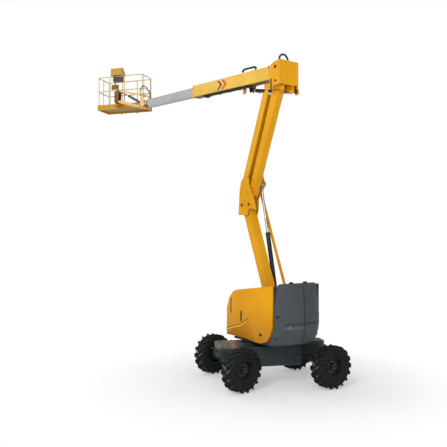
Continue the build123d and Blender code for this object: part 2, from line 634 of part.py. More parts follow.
def boom_hose():
    z = BOOM_H / 2 - BOOM_DROP
    bar = pipe([(1060, 0, z + 82), (1130, 0, z + 125), (1550, 0, z + 130), (1620, 0, z + 86)], 50, 60)
    bar += rod((1100, 0, z - 40), (1100, 0, z + 105), 24)
    bar += rod((1585, 0, z - 40), (1585, 0, z + 105), 24)
    bar -= block(1000, 1800, -60, 60, z - 200, z)
    return on_boom(bar)


def boom_inner():
    half_w = INNER_W / 2
    z0 = -BOOM_DROP - INNER_H / 2
    z1 = -BOOM_DROP + INNER_H / 2
    tube = block(INNER_U0, INNER_U1, -half_w, half_w, z0, z1)
    tube -= block(INNER_U0 - 1, INNER_U1 - 60, -half_w + 7, half_w - 7, z0 + 7, z1 - 7)
    tube = on_boom(tube)
    steps = [(-280, -120), (-260, 100), (-30, 70), (50, 40), (65, -10), (30, -60), (-50, -80)]
    ear = [shifted(P_FOOT, step) for step in steps]
    for y0 in (-88, 68):
        tube += plate_xz(ear, y0, y0 + 20)
    tube += pin(P_FOOT, -160, 134, 50)
    return tube


def tip_hose():
    x = P_FOOT[0] - 300
    a = math.radians(BOOM_ANGLE)
    top = P_BOOM[1] + (x - P_BOOM[0]) * math.tan(a) + (INNER_H / 2 - BOOM_DROP) / math.cos(a)
    seat = top + 15 * math.tan(a) + FIT
    way = [(80, -300, 190), (90, -30, 470), (90, 180, 580), (90, 380, 510), (90, 440, 390)]
    return pipe([(x, 80, seat)] + [(P_FOOT[0] + dx, y, P_FOOT[1] + dz) for y, dx, dz in way], 30, 60)


# ---- jib ----------------------------------------------------------------
def jib_far(p):
    a = math.radians(JIB_ANGLE)
    return (p[0] + JIB_L * math.cos(a), p[1] + JIB_L * math.sin(a))


def jib_foot():
    steps = [(-40, -60), (-50, 30), (10, 80), (150, 200), (195, 330), (260, 350), (310, 290), (360, -80),
             (340, -150), (270, -160), (180, -100)]
    side = [shifted(P_FOOT, step) for step in steps]
    web = shifted(P_FOOT, (80, 20))
    foot = plate_xz(side, 118, 134) + plate_xz(side, -160, -144)
    foot += block(web[0], web[0] + 100, -160, 134, web[1], web[1] + 60)
    foot += pin(P_JIB_UP, -160, 134, 40)
    foot += pin(P_JIB_LOW, -160, 134, 40)
    foot += pin(shifted(P_JIB_LOW, JIB_BASE_STEP), -160, -62, 34)
    foot = foot - pin(P_FOOT, -200, 200, 50 + 2 * FIT)
    foot += rod((P_FOOT[0], -160, P_FOOT[1]), (P_FOOT[0], -92, P_FOOT[1]), 100) - pin(P_FOOT, -200, 200, 50 + 2 * FIT)
    foot += rod((P_FOOT[0], 92, P_FOOT[1]), (P_FOOT[0], 134, P_FOOT[1]), 100) - pin(P_FOOT, -200, 200, 50 + 2 * FIT)
    return foot


def jib_bar(p, width, depth):
    bar = block(0, JIB_L, -width / 2, width / 2, -depth / 2, depth / 2)
    for x in (0, JIB_L):
        bar += rod((x, -width / 2, 0), (x, width / 2, 0), depth + 16)
    for x in (0, JIB_L):
        bar -= rod((x, -100, 0), (x, 100, 0), 40 + 2 * FIT)
    return along(p, jib_far(p)) * bar


def platform_mount():
    low = jib_far(P_JIB_LOW)
    up = jib_far(P_JIB_UP)
    side = [(low[0] - 50, low[1] - 40), (low[0] - 10, low[1] - 60), (low[0] + 90, low[1] - 60),
            (low[0] + 110, up[1] + 10), (up[0] + 20, up[1] + 60), (up[0] - 30, up[1] + 50), (up[0] - 50, up[1])]
    part = plate_xz(side, 50, 62) + plate_xz(side, -62, -50)
    part += block(low[0] + 75, low[0] + 100, -60, 60, low[1] - 60, up[1])
    part += pin(low, -70, 70, 40) + pin(up, -70, 70, 40)
    part += pin(shifted(up, JIB_EYE_STEP), -70, -50, 44)
    part += Pos(ROTATOR_X, 0, (low[1] + up[1]) / 2) * Cylinder(85, up[1] - low[1])
    spigot_z0 = BASKET_Z + CARRIER_LOW + FIT
    spigot_z1 = BASKET_Z + CARRIER_HIGH - FIT
    part += Pos(ROTATOR_X, 0, (spigot_z0 + spigot_z1) / 2) * Cylinder(50, spigot_z1 - spigot_z0)
    part += block(low[0] + 80, ROTATOR_X, -60, 60, low[1], up[1])
    return part


# ---- platform -----------------------------------------------------------
def on_basket(shape):
    return Pos(ROTATOR_X, 0, BASKET_Z) * Rot(0, 0, BASKET_TURN) * shape


def basket():
    """Platform: floor pan with toe board, two rails all round, carrier arms to the rotator."""
    x0 = BASKET_IN
    x1 = BASKET_IN + BASKET_D
    half = BASKET_W / 2
    r = RAIL_D / 2
    bend = 60.0
    cage = block(x0, x1, -half, half, 0, 46) - block(x0 + 40, x1 - 40, -half + 40, half - 40, -1, 40)
    cage += block(x0, x1, -half, half, 40, TOE_H) - block(x0 + 4, x1 - 4, -half + 4, half - 4, 40, TOE_H + 1)
    top = BASKET_H - r
    corner = bend * (1 - math.cos(math.pi / 4))
    gate_xs = gate_posts()
    end_y = -half + r
    ring = [(x0 + r, end_y), (x1 - r, end_y), (x1 - r, half - r), (x0 + r, half - r)]
    mid_x = (x0 + x1) / 2
    for x in (x0 + r, x1 - r):
        cage += pipe([(mid_x, end_y, top), (x, end_y, top), (x, half - r, top), (mid_x, half - r, top)], RAIL_D, bend)
    cage += pipe([(gate_xs[1], end_y, MID_RAIL)] + [(x, y, MID_RAIL) for x, y in ring[1:] + ring[:1]]
                 + [(gate_xs[0], end_y, MID_RAIL)], RAIL_D, bend)
    posts = [(x0 + r + corner, end_y + corner), (x1 - r - corner, end_y + corner), (x1 - r - corner, half - r - corner),
             (x0 + r + corner, half - r - corner), ((x0 + x1) / 2, half - r), (x0 + r, -180), (x0 + r, 400),
             (x1 - r, -300), (x1 - r, 300), (gate_xs[0], end_y), (gate_xs[1], end_y)]
    for x, y in posts:
        cage += rod((x, y, 44), (x, y, top), RAIL_D - 4)
    for y in (-320, 330):
        cage += block(x1 - 44, x1 - 4, y - 25, y + 25, -24, 0)
    carrier_z0 = CARRIER_LOW - CARRIER_T
    carrier_z1 = CARRIER_HIGH + CARRIER_T
    cage += block(-70, x0 + 4, -60, 60, carrier_z0, CARRIER_LOW) + block(-70, x0 + 4, -60, 60, CARRIER_HIGH, carrier_z1)
    cage += block(105, x0 + 4, -60, 60, carrier_z0, carrier_z1)
    return on_basket(cage)


def gate_posts():
    return (BASKET_IN + 130, BASKET_IN + BASKET_D - 130)


def basket_gate():
    """Entry bar that slides up on two posts."""
    a, b = gate_posts()
    bar = rod((a, 0, 0), (b, 0, 0), 28)
    for x in (a, b):
        bar += Pos(x, 0, 0) * Cylinder(24, SLEEVE_H)
    for x in (a, b):
        bar -= Pos(x, 0, 0) * Cylinder((RAIL_D - 4) / 2 + 1, SLEEVE_H + 30)
    return on_basket(Pos(0, -BASKET_W / 2 + RAIL_D / 2, MID_RAIL + GATE_LIFT) * bar)


def control_console():
    """Operator's desk on the inner top rail, with its junction box below."""
    x0 = BASKET_IN
    desk = plate_xz([(x0 - 60, BASKET_H), (x0 - 60, 1440), (x0 - 20, 1468), (x0 + 60, 1468), (x0 + 250, 1270),
                     (x0 + 250, 1215), (x0 + 200, BASKET_H)], -100, 340)
    desk += block(x0 + 40, x0 + 180, -60, 300, 1010, BASKET_H + 2)
    desk += block(x0 - 62, x0 - 2, 40, 300, 700, 860)
    desk += block(x0 - 50, x0 - 30, 150, 190, 860, BASKET_H + 2)
    return on_basket(desk)


# ---- build --------------------------------------------------------------
CORNERS = [("front_left", 1, 1), ("front_right", 1, -1), ("rear_left", -1, 1), ("rear_right", -1, -1)]

keep(turned(chassis_frame()), "chassis_frame")
keep(turned(axle(WHEELBASE / 2) + axle(-WHEELBASE / 2)), "axles")
plain_tyre = tyre()
for name, end, side in CORNERS:
    lever = knuckle(side)
    if end < 0:
        lever = mirror(lever, about=Plane.YZ)
    keep(placed_corner(lever, end, side), "knuckle_" + name)
    offset_y = side * (TRACK / 2 - KINGPIN_Y)
    wheel_place = Pos(0, offset_y, 0)
    keep(placed_corner(wheel_place * plain_tyre, end, side), "tyre_" + name)
    keep(placed_corner(wheel_place * rim(side), end, side), "rim_" + name)
keep(tie_rod(1), "tie_rod_front")
keep(tie_rod(-1), "tie_rod_rear")

keep(turret_frame(), "turret_frame")
keep(counterweight(), "counterweight")
keep(engine_block(), "engine_block")
keep(hood(1), "hood_left")
keep(hood(-1), "hood_right")

keep(lower_arm(), "lower_arm")
keep(lower_link(), "lower_link")
keep(knee_block(), "knee_block")
riser_barrel, riser_rod = cylinder_pair(P_RISER_BASE, shifted(P_KNEE, ROD_STEP), RISER_Y, 105, 60, 2000, 70, 50, 50,
                                         RISER_TRAVEL_IN)
keep(riser_barrel, "riser_barrel")
keep(riser_rod, "riser_rod")
keep(upper_arm(), "upper_arm")
keep(upper_link(), "upper_link")
keep(boom_head(), "boom_head")
keep(head_hose(), "head_hose")

keep(boom_outer() + luff_bracket(), "boom_outer")
keep(boom_hose(), "boom_hose")
keep(boom_inner(), "boom_inner")
keep(tip_hose(), "tip_hose")
luff_barrel, luff_rod = cylinder_pair(P_LUFF_BASE, P_LUFF_EYE, LUFF_Y, 84, 50, 1450, 60, 50, 50, LUFF_TRAVEL_IN)
keep(luff_barrel, "luff_barrel")
keep(luff_rod, "luff_rod")

keep(jib_foot(), "jib_foot")
keep(jib_bar(P_JIB_UP, 60, 70), "jib_upper_bar")
keep(jib_bar(P_JIB_LOW, 90, 80), "jib_lower_bar")
jib_base = shifted(P_JIB_LOW, JIB_BASE_STEP)
jib_eye = shifted(jib_far(P_JIB_UP), JIB_EYE_STEP)
jib_barrel, jib_rod = cylinder_pair(jib_base, jib_eye, JIB_CYL_Y, 70, 40, 1450, 50, 34, 34, JIB_TRAVEL_IN)
keep(jib_barrel, "jib_barrel")
keep(jib_rod, "jib_rod")
keep(platform_mount(), "platform_mount")
keep(basket(), "basket")
keep(basket_gate(), "basket_gate")
keep(control_console(), "control_console")
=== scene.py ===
import math
import random

import bmesh
import bpy
from mathutils import Matrix, Vector


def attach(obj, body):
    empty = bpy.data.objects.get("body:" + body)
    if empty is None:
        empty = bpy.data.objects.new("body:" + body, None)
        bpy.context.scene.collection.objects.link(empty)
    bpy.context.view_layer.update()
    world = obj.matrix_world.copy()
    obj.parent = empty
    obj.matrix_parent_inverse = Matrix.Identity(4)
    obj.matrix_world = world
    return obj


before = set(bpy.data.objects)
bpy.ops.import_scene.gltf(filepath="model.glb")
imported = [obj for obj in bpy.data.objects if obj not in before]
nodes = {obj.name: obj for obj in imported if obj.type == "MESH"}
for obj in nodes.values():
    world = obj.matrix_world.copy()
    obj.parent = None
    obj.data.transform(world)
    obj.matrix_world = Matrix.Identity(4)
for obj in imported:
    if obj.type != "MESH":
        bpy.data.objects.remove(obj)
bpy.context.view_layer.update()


# ---- Standing place and studio -------------------------------------------
# The machine stands on a plain white studio floor that runs into a white
# backdrop. Large soft lamps stand high on the left and in front of it, and
# the floor keeps a soft contact shadow round the tyres.
FLOOR_HALF = 90.0
SHADOW_NEAR = 1.6     # the floor shades fully within this distance, and
SHADOW_FAR = 4.6      # glows white past this one
SOFT_LAMPS = (
    # name, place, aim, side, watts
    ("key_lamp", (-9.0, 15.0, 13.0), (0.5, 0.0, 3.5), 8.0, 1750),
    ("tail_lamp", (-15.0, 5.5, 6.5), (0.0, 0.0, 3.5), 6.0, 420),
    ("nose_lamp", (14.0, 6.0, 14.0), (3.0, 0.0, 5.0), 7.0, 500),
)
SKY_LIGHTS = (
    # mix socket, colour, strength: what lights the machine, then what stands behind it
    (1, (1.0, 0.99, 0.975, 1), 0.52),
    (2, (1, 1, 1, 1), 1.0),
)


class Finish:
    """A node material in the making, with short calls for the nodes that the finishes share."""

    def __init__(self, name):
        self.material = bpy.data.materials.new(name)
        self.material.use_nodes = True
        self.tree = self.material.node_tree
        self.tree.nodes.clear()
        self.end = self.node("OutputMaterial")
        self.where = self.node("TexCoord").outputs["Object"]
        self.normal = None

    def feed(self, socket, value):
        """Links a socket to an output, or sets it to a plain value."""
        if isinstance(value, bpy.types.NodeSocket):
            self.tree.links.new(value, socket)
        else:
            socket.default_value = value

    def node(self, kind, sockets=None, **settings):
        """New node with its plain attributes set and its sockets fed."""
        made = self.tree.nodes.new("ShaderNode" + kind)
        for key, value in settings.items():
            setattr(made, key, value)
        for key, value in (sockets or {}).items():
            self.feed(made.inputs[key], value)
        return made

    def reckon(self, operation, first, second=0.0):
        return self.node("Math", {0: first, 1: second}, operation=operation).outputs[0]

    def product(self, first, *others):
        for other in others:
            first = self.reckon("MULTIPLY", first, other)
        return first

    def ranged(self, value, low, high, out_low=0.0, out_high=1.0, **settings):
        """Value brought from one range to another, held at the ends."""
        sockets = {"Value": value, "From Min": low, "From Max": high, "To Min": out_low, "To Max": out_high}
        return self.node("MapRange", sockets, clamp=True, **settings).outputs[0]

    def gap(self, value, middle):
        """Distance of a value from a middle, either way."""
        return self.reckon("ABSOLUTE", self.reckon("SUBTRACT", value, middle))

    def vector(self, operation, first, second=(0, 0, 0)):
        """Vector arithmetic that ends in one number."""
        return self.node("VectorMath", {0: first, 1: second}, operation=operation).outputs["Value"]

    def split(self, vector):
        return self.node("SeparateXYZ", {0: vector}).outputs

    def facing(self):
        """The direction each face looks in, as X, Y and Z."""
        return self.split(self.node("NewGeometry").outputs["True Normal"])

    def about(self, centre, axis, angle):
        """Coordinates about a place, turned about one axis, in metres."""
        shift = self.node("VectorMath", {0: self.where, 1: centre}, operation="SUBTRACT").outputs[0]
        return self.node("VectorRotate", {"Vector": shift, "Angle": angle}, rotation_type=axis).outputs[0]

    def cloud(self, scale, detail=5.0, stretch=None, where=None):
        """Noise over the part, in metres, stretched if asked."""
        spot = self.where if where is None else where
        if stretch:
            spot = self.node("Mapping", {"Vector": spot, "Scale": stretch}).outputs[0]
        return self.node("TexNoise", {"Vector": spot, "Scale": scale, "Detail": detail}).outputs["Fac"]

    def tone(self, colour):
        """Output of a colour, which may be one already."""
        if isinstance(colour, bpy.types.NodeSocket):
            return colour
        made = self.node("RGB")
        made.outputs[0].default_value = (*colour, 1)
        return made.outputs[0]

    def mixed(self, base, other, mask):
        sockets = {0: mask, 6: self.tone(base), 7: self.tone(other)}
        return self.node("Mix", sockets, data_type="RGBA").outputs[2]

    def shade(self, colour, roughness, levels=None):
        """Lit surface in a base colour and a roughness, with fixed levels on its other sockets."""
        self.colour = colour
        sockets = {"Base Color": colour, "Roughness": roughness, **(levels or {})}
        self.surface = self.node("BsdfPrincipled", sockets)
        self.feed(self.end.inputs["Surface"], self.surface.outputs[0])

    def tint(self, colour, mask):
        """Lays another colour over the base colour by a mask."""
        self.colour = self.mixed(self.colour, colour, mask)
        self.feed(self.surface.inputs["Base Color"], self.colour)

    def relief(self, height, strength, distance):
        """Bump over whatever rounding or bump is already there."""
        sockets = {"Height": height, "Strength": strength, "Distance": distance}
        if self.normal is not None:
            sockets["Normal"] = self.normal
        self.normal = self.node("Bump", sockets).outputs[0]
        self.feed(self.surface.inputs["Normal"], self.normal)


floor_mesh = bpy.data.meshes.new("studio_floor")
floor_corners = [(x * FLOOR_HALF, y * FLOOR_HALF, 0) for x, y in ((-1, -1), (1, -1), (1, 1), (-1, 1))]
floor_mesh.from_pydata(floor_corners, [], [(0, 1, 2, 3)])
floor = bpy.data.objects.new("studio_floor", floor_mesh)
bpy.context.scene.collection.objects.link(floor)

studio_white = Finish("studio_white")
ray = studio_white.node("LightPath").outputs
seen = studio_white.reckon("MAXIMUM", ray["Is Camera Ray"], ray["Is Glossy Ray"])
distance = studio_white.vector("LENGTH", studio_white.where)
fade = studio_white.ranged(distance, SHADOW_NEAR, SHADOW_FAR, 0.35, 1.0, interpolation_type="SMOOTHSTEP")
matt = studio_white.node("BsdfDiffuse", {"Color": (0.93, 0.93, 0.93, 1)}).outputs[0]
glow = studio_white.node("Emission", {"Color": (1, 1, 1, 1)}).outputs[0]
blend = studio_white.node("MixShader", {0: studio_white.product(seen, fade), 1: matt, 2: glow})
studio_white.feed(studio_white.end.inputs["Surface"], blend.outputs[0])
floor_mesh.materials.append(studio_white.material)

sky = bpy.data.worlds.new("studio_air")
bpy.context.scene.world = sky
sky.use_nodes = True
sky.node_tree.nodes.clear()
link_sky = sky.node_tree.links.new
sky_mix = sky.node_tree.nodes.new("ShaderNodeMixShader")
link_sky(sky.node_tree.nodes.new("ShaderNodeLightPath").outputs["Is Camera Ray"], sky_mix.inputs["Fac"])
for socket, colour, strength in SKY_LIGHTS:
    air = sky.node_tree.nodes.new("ShaderNodeBackground")
    air.inputs["Color"].default_value = colour
    air.inputs["Strength"].default_value = strength
    link_sky(air.outputs[0], sky_mix.inputs[socket])
link_sky(sky_mix.outputs[0], sky.node_tree.nodes.new("ShaderNodeOutputWorld").inputs["Surface"])

for name, place, aim, side, watts in SOFT_LAMPS:
    light = bpy.data.lights.new(name, "AREA")
    light.shape = "RECTANGLE"
    light.size = side
    light.size_y = side
    light.energy = watts
    lamp = bpy.data.objects.new(name, light)
    lamp.location = place
    lamp.rotation_euler = (Vector(aim) - Vector(place)).to_track_quat("-Z", "Y").to_euler()
    bpy.context.scene.collection.objects.link(lamp)

bpy.context.scene.view_settings.view_transform = "Standard"


# ---- Viewpoint -----------------------------------------------------------
# A camera at a little over head height, behind the machine and to its left,
# looking level along the boom. Its lens takes in the machine from the tyres
# to the top of the platform rails.
CAMERA_PLACE = (-10.684, 8.601, 3.329)
CAMERA_YAW = -34.37
CAMERA_PITCH = 1.211
CAMERA_LENS = 47.334765
SENSOR_W = 36.0

camera_data = bpy.data.cameras.new("viewpoint")
camera_data.lens = CAMERA_LENS
camera_data.sensor_width = SENSOR_W
camera_data.clip_end = 400.0
camera = bpy.data.objects.new("viewpoint", camera_data)
camera.location = CAMERA_PLACE
camera.rotation_euler = (math.radians(90 + CAMERA_PITCH), 0, math.radians(CAMERA_YAW - 90))
bpy.context.scene.collection.objects.link(camera)
bpy.context.scene.camera = camera


# ---- Chassis weldment and axle beams -------------------------------------
# A box-section carbody with an end beam at each axle, welded from thick
# plate and sprayed dark slate. Both axle beams are bolted under the end
# beams, and road dust lies on the low plates.
CHASSIS_YAW = 66.0
BEAM_TOP = 0.900
FRAME_TOP = 0.860
FRAME_HALF_L = 0.620
BEAM_HALF_W = 0.250
BEAM_REACH = 1.270
AXLE_PLATE_LOW = 0.540
TAB_Y = 0.150
TAB_HALF_T = 0.013
ROAD_DUST = (
    # where it starts and is full along the chassis, clay tone, silt tone
    (0.66, 0.84, (0.34, 0.20, 0.135), (0.135, 0.16, 0.12)),
    (-0.70, -0.95, (0.030, 0.052, 0.046), (0.075, 0.105, 0.09)),
)
AS_IS = Matrix()    # place of what is already where it belongs
chassis_place = Matrix.Rotation(math.radians(CHASSIS_YAW), 4, "Z")


def dress_node(name, finish):
    """Gives a CAD node one material in all its slots."""
    mesh = nodes[name].data
    if not mesh.materials:
        mesh.materials.append(finish.material)
    for slot in range(len(mesh.materials)):
        mesh.materials[slot] = finish.material


def enamel(name, paint, roughness, soil_tone, primer, coat=0.03, soil=0.3, soil_top=2.0, chips=0.25):
    """Sprayed machine paint: slight tone drift, run-down dirt, dusty foot, chipped rounded edges."""
    made = Finish(name)
    pale = [min(1.0, c * 1.07 + 0.006) for c in paint]
    deep = [c * 0.9 for c in paint]
    colour = made.mixed(deep, pale, made.ranged(made.cloud(1.1, 3.0), 0.3, 0.7))
    runs = made.ranged(made.cloud(2.2, 6.0, (9.0, 9.0, 0.55)), 0.52, 0.78, 0.0, 0.35 * soil)
    colour = made.mixed(colour, soil_tone, runs)
    low = made.ranged(made.split(made.where)["Z"], soil_top, 0.15)
    dusty = made.product(low, made.ranged(made.cloud(9.0, 8.0), 0.38, 0.72, 0.1, 1.0), soil)
    colour = made.mixed(colour, [c * 1.4 for c in soil_tone], dusty)
    made.normal = made.node("Bevel", {"Radius": 0.006}, samples=3).outputs[0]
    turn = made.vector("DOT_PRODUCT", made.normal, made.node("NewGeometry").outputs["Normal"])
    bitten = made.ranged(made.cloud(34.0, 7.0), 0.55, 0.62)
    colour = made.mixed(colour, primer, made.product(made.ranged(turn, 0.995, 0.86), bitten, chips))
    rough = made.ranged(made.cloud(26.0, 4.0), 0.3, 0.7, roughness - 0.05, roughness + 0.07)
    made.shade(colour, made.reckon("ADD", rough, made.product(dusty, 0.45)),
               {"Specular IOR Level": 0.12, "Coat Weight": coat, "Coat Roughness": 0.15})
    made.relief(made.cloud(160.0, 2.0), 0.12, 0.0012)
    return made


def worn_skin(name, clean, worn, noise, span, rough, levels=None, most=1.0):
    """Surface whose tone and roughness drift together, from clean to worn or dirty."""
    made = Finish(name)
    mask = made.ranged(made.cloud(*noise), *span, 0.0, most)
    made.shade(made.mixed(clean, worn, mask), made.ranged(mask, 0.0, most, *rough), levels)
    return made


def new_piece(name, shape, finish, body):
    """Object from a bmesh, with its material, riding on a body."""
    mesh = bpy.data.meshes.new(name)
    shape.to_mesh(mesh)
    shape.free()
    mesh.shade_smooth()
    mesh.set_sharp_from_angle(angle=math.radians(35))
    made = bpy.data.objects.new(name, mesh)
    bpy.context.scene.collection.objects.link(made)
    mesh.materials.append(finish.material)
    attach(made, body)


def add_box(shape, corner, other, place=AS_IS, bevel=0.0):
    """Box between two corners, its edges broken by bevel, put in place by a matrix."""
    verts = bmesh.ops.create_cube(shape, size=1.0)["verts"]
    size = [abs(b - a) for a, b in zip(corner, other)]
    middle = [(a + b) / 2 for a, b in zip(corner, other)]
    for vert in verts:
        vert.co = Vector((vert.co[i] * size[i] + middle[i] for i in range(3)))
    if bevel > 0:
        edges = list({edge for vert in verts for edge in vert.link_edges})
        result = bmesh.ops.bevel(shape, geom=edges, offset=bevel, segments=2, affect="EDGES", profile=0.5)
        rounded = {vert for face in result["faces"] for vert in face.verts}
        verts = list(rounded | {vert for vert in verts if vert.is_valid})
    bmesh.ops.transform(shape, matrix=place, verts=verts)


def aimed(at, along, place=AS_IS):
    """Matrix that puts local Z along a direction, at a point."""
    turn = (place.to_3x3() @ Vector(along)).normalized().to_track_quat("Z", "Y").to_matrix().to_4x4()
    return Matrix.Translation(place @ Vector(at)) @ turn


def on_circle(radius, turn, height=0.0):
    """Point on a circle about Z, at a share of a full turn."""
    return Vector((radius * math.cos(2 * math.pi * turn), radius * math.sin(2 * math.pi * turn), height))


def turned_profile(shape, profile, place, steps=32):
    """Solid of revolution about local Z from (radius, height) pairs, ends closed where the radius is 0."""
    rings = []
    for radius, height in profile:
        count = steps if radius > 0 else 1
        rings.append([shape.verts.new(place @ on_circle(radius, k / steps, height)) for k in range(count)])
    for first, second in zip(rings, rings[1:]):
        for k in range(steps):
            after = (k + 1) % steps
            if len(first) == 1:
                shape.faces.new((first[0], second[k], second[after]))
            elif len(second) == 1:
                shape.faces.new((first[k], first[after], second[0]))
            else:
                shape.faces.new((first[k], first[after], second[after], second[k]))


def hex_bolt(shape, at, along, across, head, place=AS_IS, washer=True):
    """Hexagon head with chamfer and dished top, on its washer."""
    spot = aimed(at, along, place)
    r = across / 2 / math.cos(math.pi / 6)
    base = 0.0
    if washer:
        turned_profile(shape, ((0, 0), (across * 0.98, 0), (across, head * 0.08), (across, head * 0.2),
                               (0, head * 0.2)), spot, 20)
        base = head * 0.2
    top = base + head
    dish = base + head * 0.93
    turned_profile(shape, ((0, base), (r, base), (r, base + head * 0.82), (r * 0.86, top), (r * 0.5, top),
                           (r * 0.42, dish), (0, dish)), spot, 6)


def skin_over(shape, rings):
    """Closed skin over rings of vertices, with both ends shut."""
    for first, second in zip(rings, rings[1:]):
        for t in range(len(first)):
            after = (t + 1) % len(first)
            shape.faces.new((first[t], first[after], second[after], second[t]))
    shape.faces.new(rings[0][::-1])
    shape.faces.new(rings[-1])


def rings_along(shape, spots, radii, steps):
    """Rings of vertices square to a line of points that lie close together."""
    rings = []
    for k, (spot, radius) in enumerate(zip(spots, radii)):
        way = spots[min(k + 1, len(spots) - 1)] - spots[max(k - 1, 0)]
        place = aimed(spot, way)
        rings.append([shape.verts.new(place @ on_circle(radius, t / steps)) for t in range(steps)])
    return rings


def weld_bead(shape, points, radius, seed, place=AS_IS):
    """Rippled fillet bead laid along a line of points."""
    draw = random.Random(seed)
    corners = [place @ Vector(p) for p in points]
    spots = []
    for first, second in zip(corners, corners[1:]):
        count = max(2, int((second - first).length / (radius * 0.9)))
        spots += [first.lerp(second, k / count) for k in range(count)]
    spots.append(corners[-1])
    radii = [radius * (1.0 + 0.16 * math.sin(k * 2.1) + draw.uniform(-0.08, 0.08)) for k in range(len(spots))]
    skin_over(shape, rings_along(shape, spots, radii, 6))


slate_enamel = enamel("slate_enamel", (0.022, 0.035, 0.038), 0.46, (0.070, 0.064, 0.056),
                      (0.09, 0.088, 0.085), coat=0.05, soil_top=1.3, chips=0.35)
lengthwise = slate_enamel.vector("DOT_PRODUCT", slate_enamel.where, chassis_place @ Vector((1, 0, 0)))
level = slate_enamel.split(slate_enamel.where)["Z"]
blotch = slate_enamel.ranged(slate_enamel.cloud(7.0, 6.0), 0.36, 0.56, 0.25, 1.0)
for start, full, clay, silt in ROAD_DUST:
    lying = slate_enamel.product(slate_enamel.ranged(lengthwise, start, full),
                                 slate_enamel.ranged(level, 0.770, 0.825))
    dust = slate_enamel.mixed(clay, silt, slate_enamel.ranged(lengthwise, full * 1.10, full * 1.24))
    slate_enamel.tint(dust, slate_enamel.product(lying, blotch))
for name in ("chassis_frame", "axles"):
    dress_node(name, slate_enamel)

# Yellow-passivated zinc on the fasteners is dulled by dirt in the corners.
zinc = worn_skin("bolt_zinc", (0.24, 0.22, 0.18), (0.05, 0.045, 0.038), (60.0, 6.0), (0.42, 0.66),
                 (0.32, 0.75), {"Metallic": 0.85})
bolts = bmesh.new()
for end in (-1, 1):
    for side in (-1, 1):
        for x in (0.72, 0.87, 1.02, 1.16):
            hex_bolt(bolts, (end * x, side * 0.205, BEAM_TOP), (0, 0, 1), 0.024, 0.012, chassis_place)
        for x in (0.935, 1.105):
            hex_bolt(bolts, (end * x, side * 0.2, AXLE_PLATE_LOW), (0, 0, -1), 0.036, 0.018, chassis_place)
new_piece("chassis_bolts", bolts, zinc, "chassis")

beads = bmesh.new()
for end in (-1, 1):
    x = end * FRAME_HALF_L
    for side in (-1, 1):
        y = side * BEAM_HALF_W
        weld_bead(beads, ((x, y, 0.615), (x, y, FRAME_TOP + 0.003)), 0.007, 3 + end + side, chassis_place)
        weld_bead(beads, ((x, y, FRAME_TOP), (0.0, y, FRAME_TOP)), 0.006, 7 + end + side, chassis_place)
        for edge in (-TAB_HALF_T, TAB_HALF_T):
            tab = [(end * (BEAM_REACH - 0.002), side * TAB_Y + edge, z) for z in (0.695, 0.795)]
            weld_bead(beads, tab, 0.005, 11 + side, chassis_place)
new_piece("chassis_welds", beads, slate_enamel, "chassis")


# ---- Steering knuckles, drive hubs and tie rods --------------------------
# Cast knuckles swing on kingpins between the yoke plates and carry the
# drive hubs. Each axle's two knuckles are joined by a tie rod, and each
# kingpin ends in a bolted cap with a grease nipple.
STEER = {1: 32.8, -1: 22.0}
HUB_HEIGHT = 0.470
KINGPIN_OUT = 0.690
KINGPIN_HALF = 0.146
AXLE_X = 1.020
CORNERS = (("front_left", 1, 1), ("front_right", 1, -1), ("rear_left", -1, 1), ("rear_right", -1, -1))

for name in ("tie_rod_front", "tie_rod_rear"):
    dress_node(name, slate_enamel)
for name, end, side in CORNERS:
    dress_node("knuckle_" + name, slate_enamel)
    top = chassis_place @ Vector((end * AXLE_X, side * KINGPIN_OUT, HUB_HEIGHT + KINGPIN_HALF))
    caps = bmesh.new()
    turned_profile(caps, ((0, 0), (0.047, 0), (0.049, 0.003), (0.049, 0.009), (0.044, 0.013), (0.016, 0.015),
                          (0.012, 0.022), (0.005, 0.024), (0.0045, 0.034), (0, 0.036)),
                   aimed(top, (0, 0, 1)), 28)
    for k in range(4):
        hex_bolt(caps, top + on_circle(0.034, 0.125 + k / 4, 0.012), (0, 0, 1), 0.010, 0.006, washer=False)
    new_piece("kingpin_cap_" + name, caps, zinc, "knuckle_" + name)


# ---- Tyres ----------------------------------------------------------------
# Rough-terrain tyres with a deep chevron tread, filled with foam. The black
# rubber is scuffed grey on the lugs, partly dust and partly a painted
# highlight, and dry earth lies between them and on the ribbed side walls.
TREAD_R = 0.440
LUG_R = 0.470
WHEEL_OUT = 0.290
RIB_PITCH = 420.0    # radians of the wall's ribbing per metre of radius


def wheel_place(end, side):
    turn = Matrix.Rotation(math.radians(STEER[end]), 4, "Z")
    return (chassis_place @ Matrix.Translation((end * AXLE_X, side * KINGPIN_OUT, HUB_HEIGHT)) @ turn
            @ Matrix.Translation((0, side * WHEEL_OUT, 0)))


